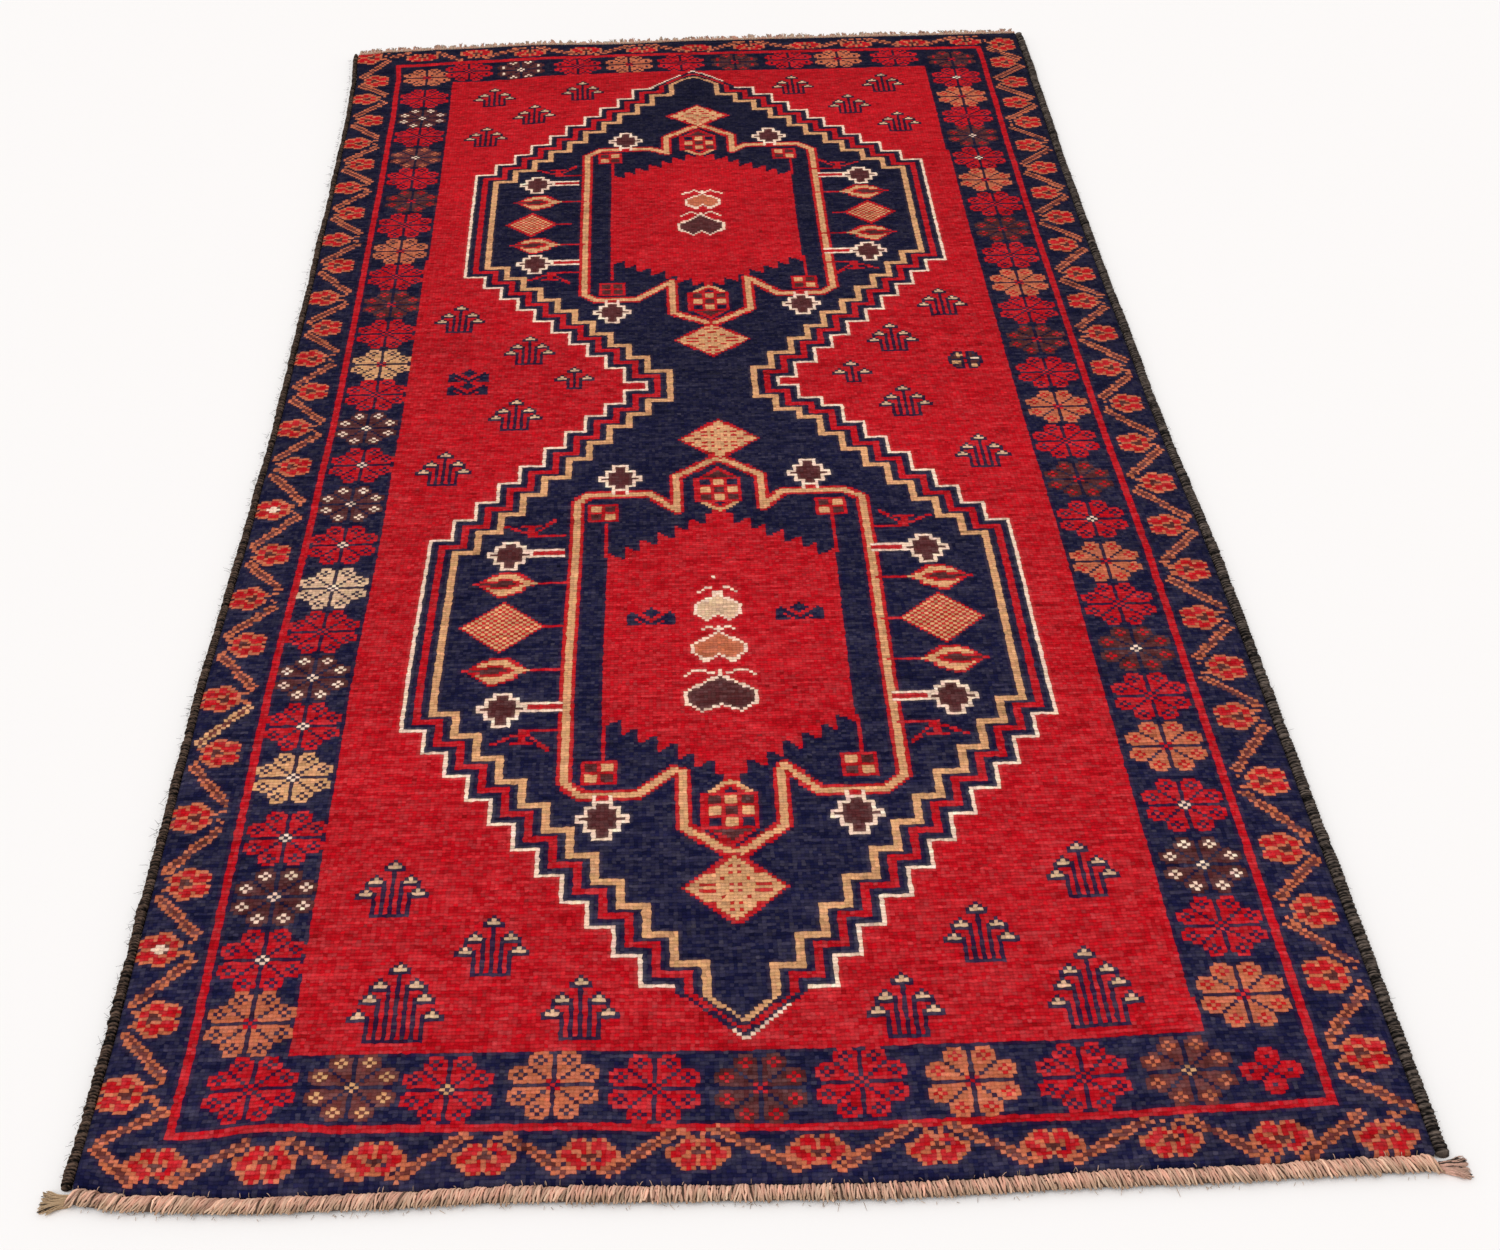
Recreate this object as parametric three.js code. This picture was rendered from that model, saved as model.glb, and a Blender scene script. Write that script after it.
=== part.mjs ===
// A hand-knotted wool area rug: a red field with two joined navy medallions, a rosette border, a red
// guard stripe and a vine border, goat-hair selvedges on both long sides, a whipped near end and a cut
// fringe on the far end.
// Millimetres, +Z up, +X across the rug, +Y along it from the near end to the far end. The origin is
// the middle of the footprint, on the floor. The rug folds in half across its middle, so whatever
// crosses that line is a near piece and a far piece.

import * as THREE from "three";

// ---- Driving dimensions ----
const PILE_WIDTH = 1075; // across the knotted pile, selvedge to selvedge
const PILE_LENGTH = 2321; // along the knotted pile
const KNOTS_ACROSS = 271;
const KNOT_ROWS = 588;
const CLOTH_THICKNESS = 3; // warps and wefts, lying on the floor
const PILE_TOP = 9.3;
const GAP = 0.3; // clearance between touching pieces
const SELVEDGE = { width: 12, height: 9.4, wrap: 1.5 };
const END_DEPTH = 20; // how far each end finish reaches past the pile
const NEAR_ROPE = { width: 19, height: 9.2, wrap: 2.2 };
const FAR_CORD = { width: 6, height: 6.4 };
const FRINGE_HEIGHT = 4.5;
const TUFT = { root: 5, spread: 11, length: 25, height: 7 };

// ---- The weaver's grid, in knot columns and rows ----
const FOLD_ROW = KNOT_ROWS / 2;
const GUARD_SIDE = { from: 16, to: 18 }; // the red stripe, in columns from either long side
const GUARD_END = { near: [13, 15], far: [576, 578] }; // the red stripe, in rows
const FIELD = { side: 38, near: 35, far: 561 };

// The medallions' stepped outline, as half widths in knots from the rug's middle line, row by row.
// Each flight of stairs starts at a half width and a row, and repeats a run and a rise.
const FLIGHTS = [
  { half: 24, row: 52, run: 6, rise: 9, steps: 10 },
  { half: 84, row: 142, run: -6.375, rise: 87, steps: 1 },
  { half: 78, row: 229, run: -6.375, rise: 9, steps: 8 },
  { half: 27, row: 301, run: 6, rise: 21, steps: 1 },
  { half: 33, row: 322, run: 6, rise: 8, steps: 8 },
  { half: 81, row: 386, run: -6.375, rise: 81, steps: 1 },
  { half: 75, row: 467, run: -6.375, rise: 8.45, steps: 9 },
];
const TIP_HALF = 18; // each end closes with a point, from this half width to the field's edge
const OUTLINE_BAND = 9; // cream, navy, red and tan lines, in knots across

// The tan frame inside each medallion: the rows of its pointed necks, notches and long sides.
const FRAMES = {
  near: { low: 93, lowShoulder: 103, lowNotch: 122, foot: 115, head: 251, highNotch: 244, highShoulder: 258, high: 267 },
  far: { low: 347, lowShoulder: 357, lowNotch: 374, foot: 367, head: 488, highNotch: 482, highShoulder: 497, high: 506 },
};
const FRAME = { side: 44, chamfer: 6, notch: 22, neck: 15, band: 4 };

// ---- Worked out from them ----
const knotWidth = PILE_WIDTH / KNOTS_ACROSS;
const knotLength = PILE_LENGTH / KNOT_ROWS;
const halfWidth = PILE_WIDTH / 2;
const halfLength = PILE_LENGTH / 2;
const middleColumn = KNOTS_ACROSS / 2;
const columnX = (column) => (column - middleColumn) * knotWidth;
const rowY = (row) => (row - FOLD_ROW) * knotLength;
const HALVES = { near: [0, FOLD_ROW], far: [FOLD_ROW, KNOT_ROWS] };

// ---- Materials ----
const yarn = (color, roughness = 0.95) => new THREE.MeshStandardMaterial({ color, roughness, metalness: 0 });
const materials = {
  cloth: yarn(0xb9a387),
  navy: yarn(0x171a36),
  red: yarn(0xb01c2e),
  tan: yarn(0xd2a277),
  goatHair: yarn(0x2b2622, 0.85),
  endWarp: yarn(0xc29c80, 0.9),
};

// ---- Shared builders ----
const rug = new THREE.Group();

function addMesh(name, geometry, material) {
  const mesh = new THREE.Mesh(geometry, material);
  mesh.name = name;
  rug.add(mesh);
}

// The outline moved inwards on every side, with its corners kept sharp.
function inset(points, distance) {
  const inwards = THREE.ShapeUtils.isClockWise(points) ? 1 : -1;
  const normal = (from, to) => {
    const along = to.clone().sub(from).normalize();
    return new THREE.Vector2(along.y, -along.x).multiplyScalar(inwards);
  };
  return points.map((point, index) => {
    const before = normal(points.at(index - 1), point);
    const after = normal(point, points[(index + 1) % points.length]);
    const mitre = before.clone().add(after).normalize();
    return point.clone().addScaledVector(mitre, distance / mitre.dot(before));
  });
}

// A flat piece, raised from one height to another, that keeps half a gap clear all round its outline.
function addSlab(name, outline, [low, high], material) {
  const corners = outline.map(([x, y]) => new THREE.Vector2(x, y));
  const distinct = corners.filter((corner, index) => !corner.equals(corners.at(index - 1)));
  const shape = new THREE.Shape(inset(distinct, GAP / 2));
  const geometry = new THREE.ExtrudeGeometry(shape, { depth: high - low, bevelEnabled: false });
  geometry.translate(0, 0, low);
  addMesh(name, geometry, material);
}

function addStrip(name, [x0, x1], [y0, y1], heights, material) {
  addSlab(name, [[x0, y0], [x1, y0], [x1, y1], [x0, y1]], heights, material);
}

const clothHeights = [0, CLOTH_THICKNESS];
const pileHeights = [CLOTH_THICKNESS + GAP, PILE_TOP];

function addPileStrip(name, columns, rows, material) {
  addStrip(name, columns.map(columnX), rows.map(rowY), pileHeights, material);
}

// An oval rod lying on the floor along +Y or +X, with an oval bore where one is given.
function addRod(name, { width, height, bore, lift = 0, from, to, at, lengthwise, material }) {
  const section = new THREE.Shape();
  section.absellipse(0, 0, width / 2, height / 2, 0, 2 * Math.PI);
  if (bore) {
    const hole = new THREE.Path();
    hole.absellipse(0, 0, bore.width / 2, bore.height / 2, 0, 2 * Math.PI, true);
    section.holes.push(hole);
  }
  const options = { depth: to - from, bevelEnabled: false, curveSegments: 20 };
  const geometry = new THREE.ExtrudeGeometry(section, options);
  geometry.rotateX(Math.PI / 2);
  geometry.translate(0, to, lift + height / 2);
  if (lengthwise) {
    geometry.translate(at, 0, 0);
  } else {
    geometry.rotateZ(-Math.PI / 2);
    geometry.translate(0, at, 0);
  }
  addMesh(name, geometry, material);
}

// A bundle of yarns inside its overcast wrapping: a tube around a core, clear of each other.
function addWrappedRod(coreName, wrapName, size, placing) {
  const bore = { width: size.width - 2 * size.wrap, height: size.height - 2 * size.wrap };
  const core = { width: bore.width - 2 * GAP, height: bore.height - 2 * GAP };
  addRod(wrapName, { ...placing, width: size.width, height: size.height, bore });
  addRod(coreName, { ...placing, ...core, lift: size.wrap + GAP });
}

// ---- Ground cloth: the warps and wefts that every knot is tied on ----
function addGroundCloth() {
  for (const [half, rows] of Object.entries(HALVES)) {
    addStrip(`ground_cloth_${half}`, [-halfWidth, halfWidth], rows.map(rowY), clothHeights, materials.cloth);
  }
}

// ---- Borders: each is an end strip and two side strips in each half of the rug ----
function addBorder(name, [from, to], nearRows, farRows, material) {
  const across = [from, KNOTS_ACROSS - from];
  addPileStrip(`${name}_near_end`, across, nearRows, material);
  addPileStrip(`${name}_far_end`, across, farRows, material);
  for (const [half, rows] of [["near", [nearRows[1], FOLD_ROW]], ["far", [FOLD_ROW, farRows[0]]]]) {
    addPileStrip(`${name}_left_${half}`, [from, to], rows, material);
    addPileStrip(`${name}_right_${half}`, [KNOTS_ACROSS - to, KNOTS_ACROSS - from], rows, material);
  }
}

function addBorders() {
  const { near, far } = GUARD_END;
  const guard = [GUARD_SIDE.from, GUARD_SIDE.to];
  addBorder("vine_border", [0, guard[0]], [0, near[0]], [far[1], KNOT_ROWS], materials.navy);
  addBorder("guard_stripe", guard, near, far, materials.red);
  addBorder("rosette_border", [guard[1], FIELD.side], [near[1], FIELD.near], [FIELD.far, far[0]], materials.navy);
}

// ---- Outlines are runs of [half width, row] corners that climb from the near end to the far end ----
function medallionOutline() {
  const corners = [[0, FIELD.near], [TIP_HALF, FLIGHTS[0].row]];
  for (const { half, row, run, rise, steps } of FLIGHTS) {
    for (let step = 0; step < steps; step += 1) {
      const width = Math.round(half + step * run);
      corners.push([width, Math.round(row + step * rise)], [width, Math.round(row + (step + 1) * rise)]);
    }
  }
  const [, lastRow] = corners.at(-1);
  corners.push([TIP_HALF, lastRow], [0, FIELD.far]);
  return corners;
}

// The same outline a number of knots nearer the middle line, ending where it meets that line.
function narrowed(outline, knots) {
  const moved = outline.map(([half, row]) => [half - knots, row]);
  return cutWhere(moved, ([half]) => half, (half) => half >= 0, 0);
}

// The part of an outline between two rows.
function betweenRows(outline, [from, to]) {
  const above = cutWhere(outline, ([, row]) => row, (row) => row >= from, from);
  return cutWhere(above, ([, row]) => row, (row) => row <= to, to);
}

// Keeps the corners that pass, and adds a corner wherever the outline crosses the limit.
function cutWhere(outline, measure, passes, limit) {
  const kept = [];
  outline.forEach((corner, index) => {
    const before = outline[index - 1];
    if (before && passes(measure(before)) !== passes(measure(corner))) {
      const share = (limit - measure(before)) / (measure(corner) - measure(before));
      kept.push(before.map((value, axis) => value + share * (corner[axis] - value)));
    }
    if (passes(measure(corner))) kept.push(corner);
  });
  return kept;
}

function frameOuter({ low, lowShoulder, lowNotch, foot, head, highNotch, highShoulder, high }) {
  const { side, chamfer, notch, neck } = FRAME;
  return [
    [0, low], [neck, lowShoulder], [neck, lowNotch], [notch, foot],
    [side - chamfer, foot], [side, foot + chamfer], [side, head - chamfer], [side - chamfer, head],
    [notch, head], [neck, highNotch], [neck, highShoulder], [0, high],
  ];
}

function frameInner({ low, lowShoulder, lowNotch, foot, head, highNotch, highShoulder, high }) {
  const { side, chamfer, notch, neck, band } = FRAME;
  const corner = chamfer + 1; // an inset chamfer starts a little further along
  return [
    [0, low + band], [neck - band, lowShoulder + 2], [neck - band, lowNotch + 7], [notch + 1, foot + band],
    [side - corner, foot + band], [side - band, foot + corner], [side - band, head - corner],
    [side - corner, head - band], [notch + 1, head - band], [neck - band, highNotch - 7],
    [neck - band, highShoulder - 2], [0, high - band],
  ];
}

// ---- Pile between two outlines, on the left (-1) or right (+1) of the middle line ----
const SIDES = { left: -1, right: 1 };
const FIELD_ROWS = { near: [FIELD.near, FOLD_ROW], far: [FOLD_ROW, FIELD.far] };

function addBetween(name, side, outer, inner, material) {
  const outline = [...outer, ...inner.toReversed()];
  addSlab(name, outline.map(([half, row]) => [side * half * knotWidth, rowY(row)]), pileHeights, material);
}

function addField(outline) {
  const edge = middleColumn - FIELD.side;
  for (const [half, rows] of Object.entries(FIELD_ROWS)) {
    const border = rows.map((row) => [edge, row]);
    for (const [sideName, side] of Object.entries(SIDES)) {
      addBetween(`field_${sideName}_${half}`, side, border, betweenRows(outline, rows), materials.red);
    }
  }
}

// ---- One medallion: outline band, navy ground, tan frame and the panel inside it ----
function addMedallion(half, outline) {
  const outer = betweenRows(outline, FIELD_ROWS[half]);
  const inner = betweenRows(narrowed(outline, OUTLINE_BAND), FIELD_ROWS[half]);
  const frameOut = frameOuter(FRAMES[half]);
  const frameIn = frameInner(FRAMES[half]);
  const middle = [[0, inner[0][1]], ...frameOut, [0, inner.at(-1)[1]]];
  for (const [sideName, side] of Object.entries(SIDES)) {
    addBetween(`medallion_outline_${sideName}_${half}`, side, outer, inner, materials.tan);
    addBetween(`medallion_ground_${sideName}_${half}`, side, inner, middle, materials.navy);
    addBetween(`medallion_frame_${sideName}_${half}`, side, frameOut, frameIn, materials.tan);
  }
  const otherSide = frameIn.map(([width, row]) => [-width, row]);
  addBetween(`medallion_panel_${half}`, 1, frameIn, otherSide, materials.red);
}

// ---- Selvedges: two goat-hair cords overcast along the long sides ----
function addSelvedges() {
  for (const [sideName, side] of Object.entries(SIDES)) {
    for (const [half, rows] of Object.entries(HALVES)) {
      const [from, to] = rows.map(rowY);
      addWrappedRod(`${sideName}_selvedge_core_${half}`, `${sideName}_selvedge_wrap_${half}`, SELVEDGE, {
        from: from + GAP / 2,
        to: to - GAP / 2,
        at: side * (halfWidth + GAP + SELVEDGE.width / 2),
        lengthwise: true,
        material: materials.goatHair,
      });
    }
  }
}

// ---- Near end: the warp ends are gathered and whipped over into one rope ----
function addNearEnd() {
  addWrappedRod("near_end_cord", "near_end_whipping", NEAR_ROPE, {
    from: -halfWidth,
    to: halfWidth,
    at: -halfLength - END_DEPTH + NEAR_ROPE.width / 2,
    lengthwise: false,
    material: materials.endWarp,
  });
}

// ---- Near corners: the loose ends of the whipping splay out as a tuft ----
function addCornerTufts() {
  for (const [sideName, side] of Object.entries(SIDES)) {
    const x = side * (halfWidth + GAP);
    const y = -halfLength - END_DEPTH / 2;
    const outline = [
      [x, y - TUFT.root],
      [x + side * TUFT.length, y - TUFT.spread + 1],
      [x + side * TUFT.length, y + TUFT.spread - 4],
      [x, y + TUFT.root],
    ];
    addSlab(`${sideName}_corner_tuft`, outline, [0, TUFT.height], materials.endWarp);
  }
}

// ---- Far end: a twined cord locks the last row, and the cut warps stand past it as a fringe ----
function addFarEnd() {
  const cordCentre = halfLength + GAP + FAR_CORD.width / 2;
  addRod("far_end_cord", {
    ...FAR_CORD,
    from: -halfWidth,
    to: halfWidth,
    at: cordCentre,
    lengthwise: false,
    material: materials.endWarp,
  });
  const fringeRoot = cordCentre + FAR_CORD.width / 2 + GAP / 2;
  addStrip("far_fringe", [-halfWidth, halfWidth], [fringeRoot, halfLength + END_DEPTH + GAP / 2], [0, FRINGE_HEIGHT], materials.endWarp);
}

const outline = medallionOutline();
addGroundCloth();
addBorders();
addField(outline);
addMedallion("near", outline);
addMedallion("far", outline);
addSelvedges();
addNearEnd();
addCornerTufts();
addFarEnd();

export default rug;
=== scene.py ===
import math

import bpy
import numpy as np
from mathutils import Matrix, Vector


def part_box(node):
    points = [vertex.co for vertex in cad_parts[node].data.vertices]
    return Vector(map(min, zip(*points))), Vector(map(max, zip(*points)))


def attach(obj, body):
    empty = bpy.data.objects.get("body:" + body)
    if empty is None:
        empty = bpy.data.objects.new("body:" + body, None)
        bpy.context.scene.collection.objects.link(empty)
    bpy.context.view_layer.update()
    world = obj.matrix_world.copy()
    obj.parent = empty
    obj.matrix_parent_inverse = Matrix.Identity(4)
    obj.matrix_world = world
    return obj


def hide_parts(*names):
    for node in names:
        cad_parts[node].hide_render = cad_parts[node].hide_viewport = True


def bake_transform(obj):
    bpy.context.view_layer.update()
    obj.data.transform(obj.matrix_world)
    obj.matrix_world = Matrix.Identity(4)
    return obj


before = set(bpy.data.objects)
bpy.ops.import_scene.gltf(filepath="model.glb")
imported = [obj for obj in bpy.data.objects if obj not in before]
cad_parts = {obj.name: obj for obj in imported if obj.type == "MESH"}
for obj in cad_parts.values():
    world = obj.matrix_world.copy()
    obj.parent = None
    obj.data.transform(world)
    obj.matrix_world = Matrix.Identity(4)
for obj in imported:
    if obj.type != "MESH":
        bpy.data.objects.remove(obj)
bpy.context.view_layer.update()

random = np.random.default_rng(7)

# A hand-knotted wool area rug. The pattern is drawn knot by knot on a weaver's chart, and each knot is a
# face of the pile. Lengths are in metres, and places on the chart are in knots: columns from the left
# edge and rows from the near end.

# ---- The cloth and the weaver's grid ----
KNOTS_ACROSS = 271
KNOT_ROWS = 588
FOLD_ROW = KNOT_ROWS // 2
cloth_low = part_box("ground_cloth_near")[0]
cloth_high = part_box("ground_cloth_far")[1]
pile_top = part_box("field_left_near")[1].z
knot_width = (cloth_high.x - cloth_low.x) / KNOTS_ACROSS
knot_length = (cloth_high.y - cloth_low.y) / KNOT_ROWS
# Where each border ends: columns in from a side, and rows at the near and the far end.
VINE_SIDE, GUARD_SIDE = 16, 18
NEAR_ROWS = {"vine": 13, "guard": 15, "rosette": 35}
FAR_ROWS = {"vine": 578, "guard": 576, "rosette": 561}

# The dyed yarns, as red, green and blue light from 0 to 1.
YARNS = {
    "navy": (0.006, 0.006, 0.026),
    "red": (0.460, 0.004, 0.010),
    "cream": (0.890, 0.625, 0.475),
    "tan": (0.640, 0.320, 0.150),
    "rust": (0.505, 0.130, 0.060),
    "brown": (0.080, 0.018, 0.019),
    "russet": (0.125, 0.028, 0.026),
    "pink": (0.700, 0.120, 0.110),
    "beige": (0.680, 0.430, 0.270),
    "straw": (0.640, 0.400, 0.245),
}
YARN_NAMES = list(YARNS)


# ---- How the real rug wanders from a true rectangle ----
def ease(value, start, end):
    share = np.clip((value - start) / (end - start), 0, 1)
    return share * share * (3 - 2 * share)


def through(value, points):
    """A smooth line through (value, height) points, level at each of them."""
    height = np.full(np.shape(value), float(points[0][1]))
    for (start, low), (end, high) in zip(points, points[1:]):
        height += (high - low) * ease(value, start, end)
    return height


# The two sides: (row, knots moved across).
LEFT_DRIFT = [
    (0, -1.6), (45, -0.4), (150, 0.1), (250, 2.4), (300, 3.2),
    (350, 3.1), (450, 2.6), (520, 1.9), (560, 0.9), (588, -1.1),
]
RIGHT_DRIFT = [(30, -0.4), (200, -0.5), (300, -2.0), (410, -2.3), (480, -1.8), (530, -1.0), (575, -0.4)]
# The lines that run across: (column, knots moved along).
NEAR_EDGE = [
    (0, 1.0), (12, -1.0), (35, -2.3), (60, -1.9), (85, -1.0),
    (120, -1.8), (160, -2.3), (215, -0.6), (271, 1.2),
]
NEAR_GUARD = [
    (20, -1.0), (38, 0.8), (55, -0.3), (100, -0.9), (120, -2.0),
    (150, -2.6), (200, -1.6), (235, -0.2), (254, 0.8),
]
NEAR_FIELD = [(45, -0.8), (90, -1.2), (135, -2.3), (200, -1.6), (232, -0.1)]
FAR_FIELD = [(50, -5.7), (60, -4.6), (80, -1.2), (120, 0.2), (190, -1.0), (220, -0.6)]
FAR_GUARD = [(20, -4.0), (50, -1.2), (80, 1.0), (120, 2.0), (200, 1.8), (250, 1.4)]
FAR_EDGE = [(2, -0.5), (14, 1.5), (40, 3.0), (75, 5.3), (105, 4.2), (140, 5.8), (271, 5.8)]
# Between these rows the knots run straight across.
STRAIGHT_ROWS = (110, 440)


def drift(column, row):
    """How far a knot lies from its place on a true grid, in knots across and along."""
    share = column / KNOTS_ACROSS
    across = through(row, LEFT_DRIFT) * (1 - share) + through(row, RIGHT_DRIFT) * share
    lines = [
        (0, through(column, NEAR_EDGE)),
        (NEAR_ROWS["vine"] + 1, through(column, NEAR_GUARD)),
        (NEAR_ROWS["rosette"], through(column, NEAR_FIELD)),
        (STRAIGHT_ROWS[0], 0),
        (STRAIGHT_ROWS[1], 0),
        (FAR_ROWS["rosette"], through(column, FAR_FIELD)),
        (FAR_ROWS["guard"] + 1, through(column, FAR_GUARD)),
        (KNOT_ROWS, through(column, FAR_EDGE)),
    ]
    along = np.zeros(np.shape(row)) + lines[0][1]
    for (start, low), (end, high) in zip(lines, lines[1:]):
        along = along + (high - low) * np.clip((row - start) / (end - start), 0, 1)
    return across, along


def laid(places):
    """Points of a true rug, moved to where the real one drifts."""
    places = np.array(places, float)
    column = (places[..., 0] - cloth_low.x) / knot_width
    row = (places[..., 1] - cloth_low.y) / knot_length
    shift_across, shift_along = drift(np.clip(column, 0, KNOTS_ACROSS), np.clip(row, 0, KNOT_ROWS))
    places[..., 0] += shift_across * knot_width
    places[..., 1] += shift_along * knot_length
    return places


# ---- The chart: which yarn each knot is tied with ----
knot_row, knot_column = np.mgrid[0:KNOT_ROWS, 0:KNOTS_ACROSS] + 0.5
drift_across, drift_along = drift(knot_column, knot_row)
across = knot_column + drift_across
along = knot_row + drift_along
chart = np.zeros((KNOT_ROWS, KNOTS_ACROSS), int)


def tie(inside, yarn):
    chart[inside] = YARN_NAMES.index(yarn)


LETTERS = {"n": "navy", "r": "red", "c": "cream", "t": "tan", "o": "rust", "b": "brown", "s": "straw"}


class Spot:
    """The knots around one at the middle of a motif: u counts across from it and v along it.

    mirror and flip turn it over, and turned swaps the two, for a motif that lies on its side."""

    def __init__(self, column, row, reach, mirror=1, flip=1, turned=False):
        off_column, off_row = drift(np.array(column), np.array(row))
        middle_column = int(np.floor(column - off_column))
        middle_row = int(np.floor(row - off_row))
        rows = slice(max(middle_row - reach, 0), min(middle_row + reach + 1, KNOT_ROWS))
        columns = slice(max(middle_column - reach, 0), min(middle_column + reach + 1, KNOTS_ACROSS))
        self.rows, self.columns = np.mgrid[rows, columns]
        self.u = (self.columns - middle_column) * mirror
        self.v = (self.rows - middle_row) * flip
        if turned:
            self.u, self.v = self.v, self.u

    def tie(self, inside, yarn):
        chart[self.rows[inside], self.columns[inside]] = YARN_NAMES.index(yarn)

    def odd(self):
        return (self.rows + self.columns) % 2 == 1

    def box(self, u, v, half_width, half_height):
        return (abs(self.u - u) < half_width) & (abs(self.v - v) < half_height)

    def disc(self, u, v, radius):
        return np.hypot(self.u - u, self.v - v) < radius

    def line(self, points, width):
        return distance(self.u, self.v, points) < width / 2

    def shape(self, points):
        return inside_polygon(self.u, self.v, points)

    def draw(self, picture, u=0, v=0):
        """Ties a small picture, one letter a knot, whose lowest row is at v and whose middle is at u."""
        for up, line in enumerate(reversed(picture)):
            for place, letter in enumerate(line):
                if letter in LETTERS:
                    here = (self.u == u + place - len(line) // 2) & (self.v == v + up)
                    self.tie(here, LETTERS[letter])


def distance(u, v, points):
    """How far each knot lies from the line through the points."""
    nearest = np.full(np.shape(u), np.inf)
    for (u0, v0), (u1, v1) in zip(points, points[1:]):
        du, dv = u1 - u0, v1 - v0
        share = np.clip(((u - u0) * du + (v - v0) * dv) / (du * du + dv * dv), 0, 1)
        nearest = np.minimum(nearest, np.hypot(u - u0 - share * du, v - v0 - share * dv))
    return nearest


def on_chart(points):
    """Places on the floor as whole places on the chart.

    Upright runs keep to one warp, and level ones to one row."""
    columns, rows = np.array(points, float).T
    off_column, off_row = drift(columns, rows)
    whole = [[round(column), round(row)] for column, row in zip(columns - off_column, rows - off_row)]
    for last, this in zip(whole, whole[1:]):
        across_run, along_run = abs(this[0] - last[0]), abs(this[1] - last[1])
        if across_run <= 1 and along_run > 3:
            this[0] = last[0]
        elif along_run <= 1 and across_run > 3:
            this[1] = last[1]
    return [tuple(place) for place in whole]


def inside_polygon(u, v, points):
    inside = np.zeros(np.shape(u), bool)
    for (u0, v0), (u1, v1) in zip(points, points[1:] + points[:1]):
        if v0 != v1:
            crosses = (v0 > v) != (v1 > v)
            inside ^= crosses & (u < u0 + (v - v0) * (u1 - u0) / (v1 - v0))
    return inside


def shrink(mask, columns, rows):
    """The mask without what lies within so many columns or rows of its edge."""
    narrow = mask.copy()
    for step in range(1, columns + 1):
        narrow[:, step:] &= mask[:, :-step]
        narrow[:, :-step] &= mask[:, step:]
    low = narrow.copy()
    for step in range(1, rows + 1):
        low[step:] &= narrow[:-step]
        low[:-step] &= narrow[step:]
    return low


# ---- Borders ----
def ring(side, near, far):
    """Everything at least so many columns from the sides, between two rows."""
    return (
        (knot_column > side)
        & (knot_column < KNOTS_ACROSS - side)
        & (knot_row > near)
        & (knot_row < far)
    )


inside_vine = ring(VINE_SIDE, NEAR_ROWS["vine"], FAR_ROWS["vine"])
inside_guard = ring(GUARD_SIDE, NEAR_ROWS["guard"], FAR_ROWS["guard"])
# The red field narrows by a knot here and there towards the far end.
field_left = np.where(knot_row < 400, 38, 39)
field_right = np.select([knot_row < 45, knot_row < 480], [232, 231], 230)
inside_rosettes = (knot_column > field_left) & (knot_column < field_right)
inside_rosettes &= ring(VINE_SIDE, NEAR_ROWS["rosette"], FAR_ROWS["rosette"])


def tie_grounds():
    tie(inside_vine & ~inside_guard, "red")
    tie(inside_rosettes, "red")


def rosette(column, row, petals, dots, heart, crossed):
    """Eight petals in pairs, split by dark lines, with a mark of dots in each petal and a small heart."""
    spot = Spot(column, row, 11)
    # The last rows are beaten down harder, so the rosettes of the far end are squat.
    beaten_down = 1.22 if row > FAR_ROWS["rosette"] - 8 else 1
    u, v = abs(spot.u), np.round(abs(spot.v) * beaten_down)
    for wide, tall in ((u, v), (v, u)):
        petal = (wide >= 2) & (wide <= 9) & (tall >= 1) & (tall <= np.minimum(wide - 1, 5))
        rounded = ((wide == 9) & ((tall == 1) | (tall == 5))) | ((wide == 8) & (tall == 5) & spot.odd())
        spot.tie(petal & ~rounded, petals)
        over, up = abs(wide - 7), abs(tall - 3)
        spot.tie((over + up == 1) & petal, dots)
    plus = u + v == 1
    cross = (u == v) & (u <= 1)
    spot.tie(cross if crossed else plus, heart)


def quatrefoil(column, row):
    """Four red rings round a middle that is left in the ground's yarn."""
    spot = Spot(column, row, 8)
    for u, v in ((0, 4), (0, -4), (4, 0), (-4, 0)):
        spot.tie(spot.disc(u, v, 2.3), "red")
        spot.tie(spot.disc(u, v, 0.8), "navy")
        spot.tie(spot.box(u / 4, v / 4, 0.5, 0.5), "red")


def places_along(count, anchors):
    """Places of evenly spaced motifs, between a few that are known."""
    return np.interp(range(count), *zip(*anchors))


# Rosettes up the sides: (number, row). Rosettes along the ends: (column, row).
LEFT_ROSETTES = [
    (0, 43.4), (3, 103.4), (4, 125.1), (6, 165.9), (8, 205.4), (10, 247.2), (12, 289.5),
    (16, 368.3), (19, 427.7), (21, 466.2), (23, 503.2), (24, 520.7), (26, 559.5),
]
RIGHT_ROSETTES = [
    (0, 45.7), (3, 107.4), (4, 129.7), (6, 169), (9, 230.1), (11, 272.3), (14, 334.3),
    (20, 453), (22, 491.9), (23, 510.1), (26, 566.6),
]
NEAR_ROSETTES = [
    (30.6, 24.7), (51.8, 25.2), (71.7, 24.2), (93.3, 24.5), (114.5, 22.8), (136.7, 22.6), (158.3, 23),
    (180.7, 22.9), (203.6, 23.1), (226.3, 24),
]
FAR_ROSETTES = [
    (45.9, 564.7), (66.6, 565.7), (89.3, 568.9), (110.7, 569.5), (131.9, 569.5), (153.2, 569.5), (175, 569.9),
    (195.6, 569.9), (218.2, 570.4),
]
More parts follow.
